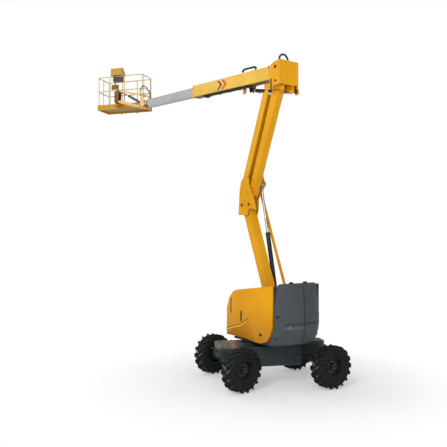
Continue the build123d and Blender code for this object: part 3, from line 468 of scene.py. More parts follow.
def tyre_rubber(name, end, side):
    """Black tyre rubber by the distance from the axle: worn lugs, grey dust with a painted highlight on the
    lugs, earthy pits, ribbed walls.
    """
    made = Finish("tyre_rubber_" + name)
    turn = -math.radians(CHASSIS_YAW + STEER[end])
    spot = made.about(wheel_place(end, side).to_translation(), "Z_AXIS", turn)
    across = made.split(spot)
    disc = made.node("CombineXYZ", {"X": across["X"], "Z": across["Z"]}).outputs[0]
    radius = made.vector("LENGTH", disc)
    colour = made.mixed((0.004, 0.0055, 0.005), (0.010, 0.0125, 0.012),
                        made.ranged(made.cloud(14.0, 7.0, where=spot), 0.35, 0.68))
    colour = made.mixed(colour, (0.021, 0.025, 0.024), made.ranged(radius, LUG_R - 0.006, LUG_R, 0.0, 0.7))
    # Grey patches on the lugs: dust, and a painted highlight where light catches the lug tops.
    lug_dust_and_highlight = made.product(made.ranged(made.cloud(3.6, 3.0, where=spot), 0.56, 0.66, 0.0, 0.8),
                         made.ranged(radius, TREAD_R + 0.008, LUG_R))
    colour = made.mixed(colour, (0.13, 0.13, 0.125), lug_dust_and_highlight)
    earth = made.product(made.ranged(radius, TREAD_R + 0.014, TREAD_R - 0.004),
                         made.ranged(radius, TREAD_R - 0.03, TREAD_R - 0.07, 1.0, 0.4),
                         made.ranged(made.cloud(22.0, 8.0, where=spot), 0.42, 0.7, 0.0, 0.40))
    colour = made.mixed(colour, (0.045, 0.042, 0.036), earth)
    made.shade(colour, made.ranged(made.cloud(30.0, 5.0, where=spot), 0.3, 0.7, 0.62, 0.86),
               {"Specular IOR Level": 0.18})
    ribs = made.reckon("SINE", made.product(radius, RIB_PITCH))
    on_wall = made.product(made.ranged(radius, 0.385, 0.375), made.ranged(radius, 0.25, 0.262))
    grain = made.cloud(120.0, 6.0, where=spot)
    made.relief(made.reckon("ADD", made.product(ribs, on_wall, 0.35), grain), 0.5, 0.003)
    return made


for name, end, side in CORNERS:
    dress_node("tyre_" + name, tyre_rubber(name, end, side))


# ---- Rims and wheel nuts -------------------------------------------------
# Pressed steel rims on planetary drive hubs, painted near black, each held
# by a ring of ten cone nuts on studs, with an oil plug in the hub's nose
# and a rubber valve through the well.
NUT_CIRCLE = 0.105
PLUG_CIRCLE = 0.048

rim_enamel = enamel("rim_enamel", (0.010, 0.011, 0.012), 0.5, (0.045, 0.042, 0.036), (0.10, 0.095, 0.09),
                    soil_top=1.1, chips=0.4)
for name, end, side in CORNERS:
    dress_node("rim_" + name, rim_enamel)
    place = wheel_place(end, side)
    nuts = bmesh.new()
    for k in range(10):
        spot = on_circle(NUT_CIRCLE, k / 10)
        foot = (spot.x, side * 0.0405, spot.y)
        hex_bolt(nuts, foot, (0, side, 0), 0.027, 0.016, place)
        turned_profile(nuts, ((0.007, 0.012), (0.007, 0.026), (0.005, 0.028), (0, 0.028)),
                       aimed(foot, (0, side, 0), place), 12)
    for k in range(3):
        spot = on_circle(PLUG_CIRCLE, 0.25 + k / 3)
        hex_bolt(nuts, (spot.x, side * 0.1115, spot.y), (0, side, 0), 0.020, 0.007, place, washer=False)
    new_piece("wheel_nuts_" + name, nuts, zinc, "wheel_" + name)


# ---- Turret frame and slew ring ------------------------------------------
# A welded deck plate with two upright side walls stands on the slew bearing.
# It is sprayed the same slate as the chassis, and bolted down to the bearing
# through a ring of high-tensile screws.
DECK_TOP = 0.975
SCREW_CIRCLE = 0.345
DECK_SEAMS = ((0.298, 21), (0.317, 22), (-0.362, 23))    # y, seed
WALL_FEET = ((0.3075, 0.03), (-0.3075, 0.03), (-0.3525, 0.03), (-0.28, 0.025))    # y, half width
P_LOW = Vector((-0.324, 0, 1.250))

turret_enamel = enamel("turret_enamel", (0.022, 0.026, 0.030), 0.48, (0.11, 0.10, 0.085), (0.12, 0.115, 0.11),
                       coat=0.05, soil=0.2, soil_top=1.6, chips=0.3)
dress_node("turret_frame", turret_enamel)

slew_bolts = bmesh.new()
for k in range(30):
    foot = on_circle(SCREW_CIRCLE, k / 30, DECK_TOP)
    under_riser = foot.x < 0 and abs(foot.y) < 0.17
    if not under_riser and all(abs(foot.y - y) >= half for y, half in WALL_FEET):
        hex_bolt(slew_bolts, foot, (0, 0, 1), 0.024, 0.013)
new_piece("slew_bolts", slew_bolts, zinc, "turret")

deck_weld = bmesh.new()
for y, seed in DECK_SEAMS:
    weld_bead(deck_weld, ((-0.94, y, DECK_TOP + 0.002), (0.47, y, DECK_TOP + 0.002)), 0.006, seed)
new_piece("deck_welds", deck_weld, turret_enamel, "turret")


# ---- Counterweight --------------------------------------------------------
# One heavy iron casting closes the tail between the hoods. It is painted a
# bluish slate grey, a little uneven over the cast skin. On its back, dark lines
# are painted shade along the machined panel grooves, and a few paler bands and
# a spot lighten the grey. Two threaded lifting points stand on its top.
WEIGHT_TOP = 2.295
TAIL_BOLT_Y = 0.590
SHADE_LINES_AND_BANDS = (
    # across, place, half width, along, start, stop, tone, strength
    ("Y", -0.045, 0.022, "Z", 1.05, 2.24, (0.022, 0.027, 0.027), 0.75),
    ("Z", 1.430, 0.030, "Y", -0.52, 0.45, (0.024, 0.030, 0.032), 0.65),
    ("Z", 1.350, 0.026, "Y", 0.02, 0.46, (0.120, 0.150, 0.155), 0.55),
    ("Y", -0.200, 0.100, "Z", 1.16, 1.32, (0.095, 0.110, 0.115), 0.45),
    ("Y", 0.330, 0.040, "Z", 1.33, 1.40, (0.170, 0.195, 0.195), 0.70),
)

cast_enamel = enamel("cast_grey", (0.062, 0.070, 0.078), 0.55, (0.17, 0.155, 0.125),
                     (0.16, 0.14, 0.12), soil_top=1.5)
cast_enamel.relief(cast_enamel.cloud(17.0, 5.0), 0.35, 0.006)
spot = cast_enamel.split(cast_enamel.where)
behind = cast_enamel.ranged(spot["X"], -0.97, -0.99)
# Dark lines: painted shade in the panel grooves. Paler bands and spot: lighter grey laid over the back.
for across, at, half, along, start, stop, colour, strength in SHADE_LINES_AND_BANDS:
    band = cast_enamel.product(cast_enamel.ranged(spot[along], start - 0.02, start + 0.02),
                               cast_enamel.ranged(spot[along], stop + 0.02, stop - 0.02))
    line = cast_enamel.ranged(cast_enamel.gap(spot[across], at), half, half * 0.4, 0.0, strength)
    cast_enamel.tint(colour, cast_enamel.product(line, band, behind))
dress_node("counterweight", cast_enamel)

lift_points = bmesh.new()
tail_bolts = bmesh.new()
for side in (-1, 1):
    turned_profile(lift_points, ((0, 0), (0.046, 0), (0.048, 0.003), (0.048, 0.022), (0.042, 0.030),
                                 (0.018, 0.034), (0.016, 0.010), (0, 0.010)),
                   aimed((-0.995, side * 0.20, WEIGHT_TOP), (0, 0, 1)), 28)
    for z, tail_r in ((1.14, 1.1085), (1.60, 1.1565)):
        out = math.sqrt(tail_r ** 2 - TAIL_BOLT_Y ** 2)
        hex_bolt(tail_bolts, (-out, side * TAIL_BOLT_Y, z), (-out, side * TAIL_BOLT_Y, 0.0), 0.036, 0.016)
new_piece("lifting_points", lift_points, turret_enamel, "turret")
new_piece("tail_bolts", tail_bolts, turret_enamel, "turret")


# ---- Engine ----------------------------------------------------------------
# The diesel engine stands under the right hood, hidden from sight. Only its
# black-painted bulk is here, for its weight.
dress_node("engine_block", enamel("engine_black", (0.016, 0.016, 0.018), 0.6, (0.09, 0.08, 0.06),
                                  (0.16, 0.155, 0.15), coat=0.0, soil=0.4, soil_top=2.2, chips=0.1))


# ---- Hoods -------------------------------------------------------------------
# Two moulded covers in glossy amber gel coat close the sides of the turret
# and lift on hinges at the top. Each has a recessed latch handle, a vent
# slit at the front corner and a black rubber seal against the tail weight.
HOOD_OUT = 0.690
LATCH_X = 0.190
LATCH_Z = 1.503
LATCH_HALF_W = 0.036
LATCH_HALF_H = 0.122
LATCH_DEPTH = 0.044
GRIP = (
    # height on the latch, reach, half width
    (-0.092, 0.004, 0.020), (-0.088, 0.020, 0.017), (-0.070, 0.027, 0.017), (0.0, 0.029, 0.017),
    (0.070, 0.027, 0.017), (0.088, 0.020, 0.017), (0.092, 0.004, 0.020),
)
GRIP_SECTION = ((-1, -0.4), (-0.7, 1), (0.7, 1), (1, -0.4), (0.7, -1), (-0.7, -1))
VENT_PLACE = (0.616, 0.6580)
VENT_TURN = math.atan(-0.048 / 0.330)
SLAT_Z = 1.545
SLAT_PITCH = 0.025
CREASE_X = 0.190        # the crease bends here,
CREASE_Z = 1.287        # at this height
REAR_SLOPE = 0.173 / 0.305      # fall of the crease per metre forward, behind the bend
FRONT_SLOPE = 0.237 / 0.910     # and in front of it
CREASE_START = -0.100
CREASE_STEP = 0.040
CREASE_SPOTS = 25
LIP_SECTION = ((0.0, 0.026), (0.010, 0.010), (0.016, -0.006), (0.013, -0.014), (0.0, -0.020))


def gel_coat():
    """Glossy amber gel coat: slow ripple of the moulding, painted shade deepening the orange towards the
    foot, fine dirt film there.
    """
    made = Finish("amber_gel_coat")
    height = made.split(made.where)["Z"]
    drift = made.ranged(made.cloud(0.9, 3.0), 0.3, 0.7)
    colour = made.mixed((0.700, 0.300, 0.0008), (0.790, 0.375, 0.0015), drift)
    # Painted shade: the orange deepens from 1.75 m down to 0.98 m, over the undercut lower panel.
    colour = made.mixed(colour, (0.50, 0.165, 0.002), made.ranged(height, 1.75, 0.98, 0.0, 0.60))
    film = made.product(made.ranged(height, 1.5, 0.98),
                        made.ranged(made.cloud(11.0, 8.0), 0.42, 0.72, 0.0, 0.38))
    colour = made.mixed(colour, (0.30, 0.22, 0.12), film)
    streak = made.ranged(made.cloud(3.0, 6.0, (10.0, 10.0, 0.5)), 0.58, 0.8, 0.0, 0.14)
    colour = made.mixed(colour, (0.24, 0.17, 0.09), streak)
    made.shade(colour, made.reckon("ADD", made.ranged(made.cloud(40.0, 5.0), 0.3, 0.7, 0.34, 0.44), film),
               {"Specular IOR Level": 0.12, "Coat Weight": 0.04, "Coat Roughness": 0.15})
    made.normal = made.node("Bevel", {"Radius": 0.008}, samples=3).outputs[0]
    made.relief(made.cloud(6.0, 2.0), 0.10, 0.004)
    return made


def crease_spot(x):
    """Half width of the hood and height of its crease, at a place along it."""
    z = CREASE_Z + (CREASE_X - x) * (REAR_SLOPE if x < CREASE_X else FRONT_SLOPE)
    y = HOOD_OUT - 0.020 * max(0.0, x + 0.10) if x < 0.5 else 0.678 - (x - 0.5) * 0.1455
    return y, z


amber_gel = gel_coat()
# Paler amber: painted highlight on the hood's crease lip and on the boom's tray lug.
highlight_amber = enamel("highlight_amber", (0.880, 0.490, 0.070), 0.45, (0.30, 0.20, 0.10), (0.30, 0.22, 0.12),
                   soil=0.10, soil_top=1.2, chips=0.1)
# Dark brown: painted shadow on the hood's crease line and the head's jaw strips, and the colour of the dark
# knee caps.
shade_and_grease_brown = enamel("shade_and_grease_brown", (0.170, 0.058, 0.002), 0.6, (0.05, 0.025, 0.005), (0.10, 0.045, 0.01),
                     coat=0.0, soil=0.15, soil_top=1.4, chips=0.1)
rubber = worn_skin("black_rubber", (0.010, 0.010, 0.011), (0.032, 0.031, 0.030), (18.0, 7.0),
                   (0.4, 0.75), (0.55, 0.8))
rubber.relief(rubber.cloud(300.0, 3.0), 0.25, 0.001)

seals = bmesh.new()
for side in (-1, 1):
    add_box(seals, (-0.9605, side * 0.585, 1.42), (-0.938, side * 0.647, 2.262), bevel=0.003)
new_piece("hood_seals", seals, rubber, "turret")

for name, side in (("hood_left", 1), ("hood_right", -1)):
    dress_node(name, amber_gel)
    floor_y = side * (HOOD_OUT - LATCH_DEPTH)
    latch = bmesh.new()
    add_box(latch, (LATCH_X - LATCH_HALF_W, floor_y, LATCH_Z - LATCH_HALF_H),
            (LATCH_X + LATCH_HALF_W, floor_y + side * 0.004, LATCH_Z + LATCH_HALF_H))
    skin_over(latch, [[latch.verts.new((LATCH_X + dx * half, floor_y + side * (out + dy * 0.006),
                                        LATCH_Z + dz)) for dx, dy in GRIP_SECTION]
                      for dz, out, half in GRIP])
    turned_profile(latch, ((0.011, 0), (0.011, 0.005), (0.008, 0.007), (0, 0.007)),
                   aimed((LATCH_X, floor_y + side * 0.004, LATCH_Z - 0.108), (0, side, 0)), 18)
    new_piece("latch_" + name, latch, rubber, name)

    vent = bmesh.new()
    place = (Matrix.Translation((VENT_PLACE[0], side * VENT_PLACE[1], 0))
             @ Matrix.Rotation(side * VENT_TURN, 4, "Z"))
    add_box(vent, (-0.024, -0.0005, 1.529), (0.024, 0.0005, 1.886), place)
    for k in range(14):
        z = SLAT_Z + SLAT_PITCH * k
        add_box(vent, (-0.022, 0, z - 0.006), (0.022, side * 0.0022, z + 0.006), place, bevel=0.001)
    add_box(vent, (-0.610, side * 0.673, 1.128), (-0.450, side * 0.677, 1.214))
    new_piece("vent_" + name, vent, rubber, name)

    # The crease lip is in the paler highlight amber, a painted highlight; the dark bead above it is a painted
    # shadow line.
    lip = bmesh.new()
    rings = []
    shadow = []
    for k in range(CREASE_SPOTS):
        x = CREASE_START + CREASE_STEP * k
        y, z = crease_spot(x)
        swell = min(1.0, k / 6.0, (24.6 - k) / 2.0)
        rings.append([lip.verts.new((x, side * (y - 0.002 + out * swell), z + up * (0.4 + 0.6 * swell)))
                      for out, up in LIP_SECTION])
        shadow.append((x, side * y, z + 0.036))
    for first, second in zip(rings, rings[1:]):
        for t in range(len(LIP_SECTION) - 1):
            lip.faces.new((first[t], first[t + 1], second[t + 1], second[t]))
    line = bmesh.new()
    weld_bead(line, shadow, 0.0075, 21)
    new_piece("crease_lip_" + name, lip, highlight_amber, name)
    new_piece("crease_shadow_line_" + name, line, shade_and_grease_brown, name)


# ---- Lower arm, links and knee block ------------------------------------------
# The riser is two welded box arms that fold like a Z, each kept level by a
# link beside it. Both arms meet at a knee block of two cheek plates. All of it
# is amber enamel over shot-blasted steel, with weld beads along the seams.
P_KNEE = Vector((0.820, 0, 4.080))
P_UP_LOW = Vector((0.610, 0, 4.360))
P_UP_TOP = Vector((-0.360, 0, 6.740))
UPLINK_STEP = Vector((0.280, 0, 0.040))    # from the upper arm's lower pin to its link's
ROD_STEP = Vector((-0.240, 0, 0.500))      # from the knee pin to the riser rod's eye
CHEEK_Y = 0.155

riser_enamel = enamel("amber_enamel", (0.740, 0.340, 0.0015), 0.42, (0.25, 0.185, 0.10),
                      (0.20, 0.15, 0.11), coat=0.08)
link_enamel_lit_rear = enamel("link_enamel_lit_rear", (0.760, 0.370, 0.012), 0.45, (0.25, 0.185, 0.10),
                     (0.20, 0.15, 0.11), soil=0.25)
# Painted light: faces turned rearwards are brightened to pale amber, lighting the inside of the link's
# channel.
link_enamel_lit_rear.tint((1.0, 0.620, 0.035), link_enamel_lit_rear.ranged(link_enamel_lit_rear.facing()["X"], -0.55, -0.75))
jib_enamel = enamel("jib_enamel", (0.860, 0.560, 0.220), 0.45, (0.30, 0.18, 0.08), (0.24, 0.17, 0.11))
for name in ("lower_arm", "lower_link", "knee_block", "upper_arm", "boom_head"):
    dress_node(name, riser_enamel)
dress_node("upper_link", link_enamel_lit_rear)
for name in ("jib_foot", "jib_upper_bar", "jib_lower_bar"):
    dress_node(name, jib_enamel)


def along_arm(start, stop):
    """Matrix with X from one pin to the next, Y kept, Z off the arm's back."""
    x = (stop - start).normalized()
    y = Vector((0, 1, 0))
    turn = Matrix((x, y, x.cross(y))).transposed().to_4x4()
    return Matrix.Translation(start) @ turn, (stop - start).length


def pin_keeper(shape, x, y, z, side, reach, lean):
    """Flat keeper plate on a pin's end face, held by two screws."""
    place = Matrix.Translation((x, y, z)) @ Matrix.Rotation(lean, 4, "Y")
    add_box(shape, (-reach, 0, -0.019), (reach, side * 0.007, 0.019), place, bevel=0.003)
    for share in (-0.66, 0.66):
        hex_bolt(shape, (share * reach, side * 0.007, 0), (0, side, 0), 0.017, 0.009, place)


def arm_trim(name, start, stop, width, low_depth, top_depth, body, seed):
    """Seam welds on the four corners and doubler rings at the pins."""
    place, size = along_arm(start, stop)
    shape = bmesh.new()
    for side in (-1, 1):
        for face in (-1, 1):
            y = side * (width / 2 + 0.0005)
            run = ((0.16, y, face * (low_depth / 2 - 0.010)),
                   (size - 0.16, y, face * (top_depth / 2 - 0.010)))
            weld_bead(shape, run, 0.0038, seed + side + 2 * face, place)
        for x in (0.0, size):
            turned_profile(shape, ((0.052, 0), (0.052, 0.002), (0.050, 0.004), (0.034, 0.004), (0.034, 0)),
                           aimed((x, side * width / 2, 0), (0, side, 0), place), 28)
    new_piece(name, shape, riser_enamel, body)


arm_trim("lower_arm_welds", P_LOW, P_KNEE, 0.200, 0.240, 0.240, "lower_arm", 31)
arm_trim("upper_arm_welds", P_UP_LOW, P_UP_TOP, 0.160, 0.190, 0.240, "upper_arm", 41)

knee_pins = bmesh.new()
knee_beads = bmesh.new()
for side in (-1, 1):
    y = side * CHEEK_Y
    for at, lean in ((P_KNEE, 0.2), (P_UP_LOW, -0.5), (P_UP_LOW + UPLINK_STEP, 1.2)):
        turned_profile(knee_pins, ((0.036, 0), (0.036, 0.004), (0.033, 0.006), (0, 0.006)),
                       aimed((at.x, y, at.z), (0, side, 0)), 32)
        pin_keeper(knee_pins, at.x + 0.052 * math.cos(lean), y, at.z - 0.052 * math.sin(lean), side,
                   0.042, lean)
    weld_bead(knee_beads, ((0.973, side * 0.1345, 3.86), (0.973, side * 0.1345, 4.12)), 0.006, 51 + side)
new_piece("knee_pin_keepers", knee_pins, riser_enamel, "knee")

knee_caps = bmesh.new()
for x, z, r in ((P_KNEE.x + 0.046, 4.083, 0.040), (0.591, 4.087, 0.034)):
    turned_profile(knee_caps, ((0, 0), (r, 0), (r, 0.012), (r - 0.005, 0.016), (r * 0.45, 0.016),
                               (r * 0.4, 0.010), (0, 0.010)), aimed((x, CHEEK_Y, z), (0, 1, 0)), 32)
new_piece("knee_caps", knee_caps, shade_and_grease_brown, "knee")
new_piece("knee_welds", knee_beads, riser_enamel, "knee")


# ---- Riser hoses ----------------------------------------------------------------
# Two black hydraulic hoses climb the left side of each arm, pressed flat
# against it in bolted clamps. They stop in steel tubes near each pin.
HOSE_R = 0.011
HOSE_HALF_GAP = 0.014
CLAMPS = 5
CLAMP_END = 0.36
HOSED_ARMS = (
    # piece, start, stop, arm width, height on the arm, body
    ("lower_arm_hoses", P_LOW, P_KNEE, 0.200, 0.055, "lower_arm"),
    ("upper_arm_hoses", P_UP_LOW, P_UP_TOP, 0.160, 0.030, "upper_arm"),
)


def hose_run(shape, points, radius, steps=10, place=AS_IS):
    """Tube through points that already lie close together."""
    spots = [place @ Vector(p) for p in points]
    skin_over(shape, rings_along(shape, spots, [radius] * len(spots), steps))


def eased(points, count):
    """Smooth Catmull-Rom line through a few points."""
    spots = [Vector(p) for p in points]
    full = [spots[0] * 2 - spots[1]] + spots + [spots[-1] * 2 - spots[-2]]
    line = []
    for a, b, c, d in zip(full, full[1:], full[2:], full[3:]):
        for k in range(count):
            t = k / count
            line.append(0.5 * ((2 * b) + (c - a) * t + (2 * a - 5 * b + 4 * c - d) * t * t
                               + (3 * b - a - 3 * c + d) * t * t * t))
    line.append(spots[-1])
    return line


for name, start, stop, width, face, body in HOSED_ARMS:
    place, size = along_arm(start, stop)
    in_y = -(width / 2 - 0.002)
    y = -(width / 2 + HOSE_R + 0.001)
    hoses = bmesh.new()
    for offset in (-HOSE_HALF_GAP, HOSE_HALF_GAP):
        z = face + offset
        line = ((0.20, in_y, z), (0.24, y, z), (0.32, y, z), (size / 2, y, face + offset * 1.05),
                (size - 0.32, y, z), (size - 0.24, y, z), (size - 0.20, in_y, z))
        hose_run(hoses, eased(line, 9), HOSE_R, place=place)
    new_piece(name, hoses, rubber, body)
    clamps = bmesh.new()
    out_y = y - HOSE_R - 0.004
    for k in range(CLAMPS):
        x = CLAMP_END + (size - 2 * CLAMP_END) * k / (CLAMPS - 1)
        add_box(clamps, (x - 0.016, out_y, face - 0.034), (x + 0.016, -width / 2, face + 0.034), place, 0.004)
        hex_bolt(clamps, (x, out_y, face), (0, -1, 0), 0.013, 0.006, place)
    new_piece(name + "_clamps", clamps, zinc, body)


# ---- Hydraulic cylinders ------------------------------------------------------
# Three double-acting cylinders drive the riser, the boom and the jib: glossy
# black honed barrels with screwed glands, hard-chromed rods, and a steel pipe
# along each barrel to the gland end's port.
P_FOOT = Vector((6.150, 0, 7.600))
P_JIB_LOW = P_FOOT + Vector((0.300, 0, -0.100))
P_JIB_UP = P_FOOT + Vector((0.250, 0, 0.270))
JIB_SLOPE = math.radians(15.9)
JIB_L = 2.048
jib_reach = Vector((JIB_L * math.cos(JIB_SLOPE), 0, JIB_L * math.sin(JIB_SLOPE)))
PORT_LOW = 0.125        # ports, from the base pin and from the barrel's end
PORT_TOP = 0.105
PIPE_R = 0.0065
CYLINDERS = (
    # name, base pin, rod eye, y, barrel radius, barrel length, rod radius, pipe side
    ("riser", Vector((-0.080, 0, 1.450)), P_KNEE + ROD_STEP, -0.215, 0.0525, 2.000, 0.030, 1),
    ("luff", Vector((-0.680, 0, 6.600)), Vector((0.910, 0, 6.940)), -0.200, 0.042, 1.450, 0.025, -1),
    ("jib", P_JIB_LOW + Vector((0.050, 0, 0.060)), P_JIB_UP + jib_reach + Vector((-0.030, 0, -0.050)), -0.100,
     0.035, 1.450, 0.020, 1),
)

gloss_black = worn_skin("black_gloss", (0.010, 0.010, 0.011), (0.055, 0.050, 0.043), (12.0, 8.0),
                        (0.45, 0.78), (0.24, 0.58),
                        {"Specular IOR Level": 0.2, "Coat Weight": 0.06, "Coat Roughness": 0.15}, most=0.6)
chrome = worn_skin("hard_chrome", (0.46, 0.43, 0.37), (0.34, 0.30, 0.22), (8.0, 5.0, (3.0, 3.0, 0.6)),
                   (0.4, 0.7), (0.18, 0.30), {"Metallic": 1.0})
chrome.feed(chrome.surface.inputs["Roughness"], chrome.ranged(chrome.cloud(90.0, 4.0), 0.3, 0.7, 0.18, 0.30))


def port_boss(shape, radius, heights, at, along, place=AS_IS):
    """Hexagonal boss with a hose fitting's smaller end on it."""
    low, middle, top = heights
    turned_profile(shape, ((0, 0), (radius, 0), (radius, low), (radius - 0.003, middle),
                           (radius - 0.003, top), (0, top)), aimed(at, along, place), 6)


for name, base, eye, y, radius, length, rod_r, up in CYLINDERS:
    dress_node(name + "_barrel", gloss_black)
    dress_node(name + "_rod", chrome)
    place = along_arm(base + Vector((0, y, 0)), eye + Vector((0, y, 0)))[0]
    lengthways = place @ Matrix.Rotation(math.radians(90), 4, "Y")
    fittings = bmesh.new()
    for x in (PORT_LOW, length - PORT_TOP):
        port_boss(fittings, 0.016, (0.012, 0.014, 0.022), (x, 0, up * (radius - 0.003)), (0, 0, up), place)
    rise = up * (radius + 0.013)
    bow = up * 0.004
    line = ((PORT_LOW, 0, rise), (0.150, 0, rise + bow), (0.190, 0, rise), (length * 0.5, 0, rise - bow),
            (length - 0.17, 0, rise), (length - 0.13, 0, rise + bow), (length - PORT_TOP, 0, rise))
    hose_run(fittings, eased(line, 8), PIPE_R, 8, place)
    for x in (length * 0.28, length * 0.72):
        turned_profile(fittings, ((radius - 0.001, x - 0.012), (radius + 0.0025, x - 0.011),
                                  (radius + 0.0025, x + 0.011), (radius - 0.001, x + 0.012)), lengthways, 36)
    new_piece(name + "_pipe", fittings, gloss_black, name + "_barrel")
    wiper = bmesh.new()
    turned_profile(wiper, ((rod_r + 0.0006, length - 0.003), (rod_r + 0.0006, length + 0.006),
                           (rod_r + 0.006, length + 0.004), (rod_r + 0.009, length - 0.001),
                           (rod_r + 0.009, length - 0.003)), lengthways, 36)
    new_piece(name + "_wiper", wiper, rubber, name + "_barrel")

rod_cap = bmesh.new()
rod_eye = P_KNEE + ROD_STEP
turned_profile(rod_cap, ((0, 0), (0.047, 0), (0.047, 0.010), (0.042, 0.013), (0.018, 0.013), (0.016, 0.008),
                         (0, 0.008)), aimed((rod_eye.x, -0.1848, rod_eye.z), (0, 1, 0)), 32)
new_piece("rod_eye_cap", rod_cap, rubber, "riser_rod")


# ---- Boom head ------------------------------------------------------------------
# The head block on top of the upper arm: two shaped side plates on a folded
# back plate, in the same amber enamel. Black hoses cross over its cap in one
# thick hoop, and oiled pins show their dark ends on both sides.
P_BOOM = Vector((-0.550, 0, 7.120))
HEAD_HALF = 0.270
HEAD_TOP = 7.250
dress_node("head_hose", rubber)
pin_brown = enamel("pin_brown", (0.060, 0.024, 0.003), 0.6, (0.02, 0.012, 0.005), (0.10, 0.06, 0.03),
                   coat=0.0, chips=0.3)

head_pins = bmesh.new()
head_bolts = bmesh.new()
head_beads = bmesh.new()
jaw_shadow_strips = bmesh.new()
for y in (-0.205, -0.06, 0.06, 0.205):
    hex_bolt(head_bolts, (-0.700, y, HEAD_TOP), (0, 0, 1), 0.014, 0.008)
for side in (-1, 1):
    for x, z, r in ((P_BOOM.x, P_BOOM.z, 0.036), (-0.555, 6.805, 0.028)):
        turned_profile(head_pins, ((0, 0), (r, 0), (r, 0.006), (r - 0.004, 0.009), (r * 0.4, 0.009),
                                   (r * 0.34, 0.005), (0, 0.005)),
                       aimed((x, side * HEAD_HALF, z), (0, side, 0)), 32)
        for k in range(3):
            spot = on_circle(r - 0.013, 0.25 + k / 3)
            foot = (x + spot.x, side * (HEAD_HALF + 0.009), z + spot.y)
            hex_bolt(head_pins, foot, (0, side, 0), 0.008, 0.004, washer=False)
    for z in (6.90, 7.05, 7.18):
        hex_bolt(head_bolts, (-0.675, side * HEAD_HALF, z), (0, side, 0), 0.016, 0.009)
    weld_bead(head_beads, ((-0.693, side * 0.249, 6.73), (-0.693, side * 0.249, 7.22)), 0.005, 61 + side)
    weld_bead(head_beads, ((-0.693, side * 0.134, 6.56), (-0.693, side * 0.134, 6.70)), 0.004, 64 + side)
    # Jaw strips: dark strips on the side plates, painted shadow beside the boom's root.
    y = side * (HEAD_HALF + 0.001)
    add_box(jaw_shadow_strips, (-0.428, y - 0.002, 6.625), (-0.376, y + 0.002, 6.880), bevel=0.0015)
    add_box(jaw_shadow_strips, (-0.335, y - 0.003, 7.125), (-0.306, y + 0.003, 7.195), bevel=0.002)
new_piece("head_pins", head_pins, pin_brown, "boom_head")
new_piece("head_bolts", head_bolts, riser_enamel, "boom_head")
new_piece("head_welds", head_beads, riser_enamel, "boom_head")
new_piece("jaw_shadow_strips", jaw_shadow_strips, shade_and_grease_brown, "boom_head")

glands = bmesh.new()
for y in (0.008, 0.246):
    turned_profile(glands, ((0.028, 0), (0.030, 0.006), (0.027, 0.014), (0.022, 0.016)),
                   aimed((-0.669, y, HEAD_TOP), (0, 0, 1)), 24)
new_piece("hose_glands", glands, rubber, "boom_head")


# ---- Outer boom -------------------------------------------------------------------
# A rectangular steel boom section, amber like the riser, with a dark and a
# red chevron painted on each side ahead of its middle. Its mouth has a thick
# collar with screw-adjusted wear pads, and a black tray of hoses hangs below.
BOOM_SLOPE = math.radians(4.3)
BOOM_HALF_W = 0.125
BOOM_MIDDLE = -0.067
BOOM_LOW = -0.222
BOOM_HIGH = 0.088
BOOM_L = 3.780
COLLAR_BACK = BOOM_L - 0.0605
boom_place = Matrix.Translation(P_BOOM) @ Matrix.Rotation(-BOOM_SLOPE, 4, "Y")
CHEVRON_LEAN = -1.15
CHEVRONS = (
    # tip, arm width, colour
    (2.330, 0.090, (0.055, 0.035, 0.018)),
    (2.115, 0.110, (0.62, 0.085, 0.022)),
)
LUG_OUTLINE = (
    # along the boom, height from its underside
    (1.600, 0.001), (1.745, 0.001), (1.735, -0.110), (1.690, -0.145), (1.615, -0.130),
)
TRAY_STRAPS = (1.32, 1.77, 2.22, 2.67, 3.12)


def boom_paint():
    """Boom enamel with the chevrons on both sides, and painted shade on the underside and on the lug below
    it.
    """
    made = enamel("boom_enamel", (0.800, 0.480, 0.050), 0.42, (0.25, 0.185, 0.10), (0.20, 0.15, 0.11),
                  coat=0.08, soil=0.22)
    spot = made.split(made.about(P_BOOM, "Y_AXIS", BOOM_SLOPE))
    facing = made.facing()
    on_side = made.ranged(made.reckon("ABSOLUTE", facing["Y"]), 0.80, 0.90)
    off_middle = made.gap(spot["Z"], BOOM_MIDDLE)
    lean = made.reckon("ADD", spot["X"], made.product(off_middle, CHEVRON_LEAN))
    inside = made.ranged(off_middle, 0.124, 0.120)
    for tip, wide, colour in CHEVRONS:
        after = made.ranged(lean, tip - 0.002, tip + 0.002)
        before = made.ranged(lean, tip + wide + 0.002, tip + wide - 0.002)
        made.tint(colour, made.product(after, before, inside, on_side))
    # Painted shade: down-facing faces of the boom's underside are darkened.
    under = made.product(made.ranged(facing["Z"], -0.80, -0.95),
                         made.ranged(spot["Z"], BOOM_LOW + 0.02, BOOM_LOW + 0.01))
    made.tint((0.105, 0.060, 0.014), under)
    # Painted shade: the lug hanging below the boom is darkened to near black.
    lug = made.product(made.ranged(spot["Z"], BOOM_LOW - 0.002, BOOM_LOW - 0.008),
                       made.ranged(spot["X"], 2.0, 1.9))
    made.tint((0.045, 0.024, 0.010), lug)
    return made


boom_enamel = boom_paint()
dress_node("boom_outer", boom_enamel)
dress_node("boom_hose", gloss_black)

tray_lug = bmesh.new()
# The lug is in the paler highlight amber, a painted highlight.
skin_over(tray_lug, [[tray_lug.verts.new(boom_place @ Vector((u, y, BOOM_LOW + z))) for u, z in LUG_OUTLINE]
                     for y in (-0.140, -0.128)])
new_piece("tray_lug", tray_lug, highlight_amber, "boom_outer")

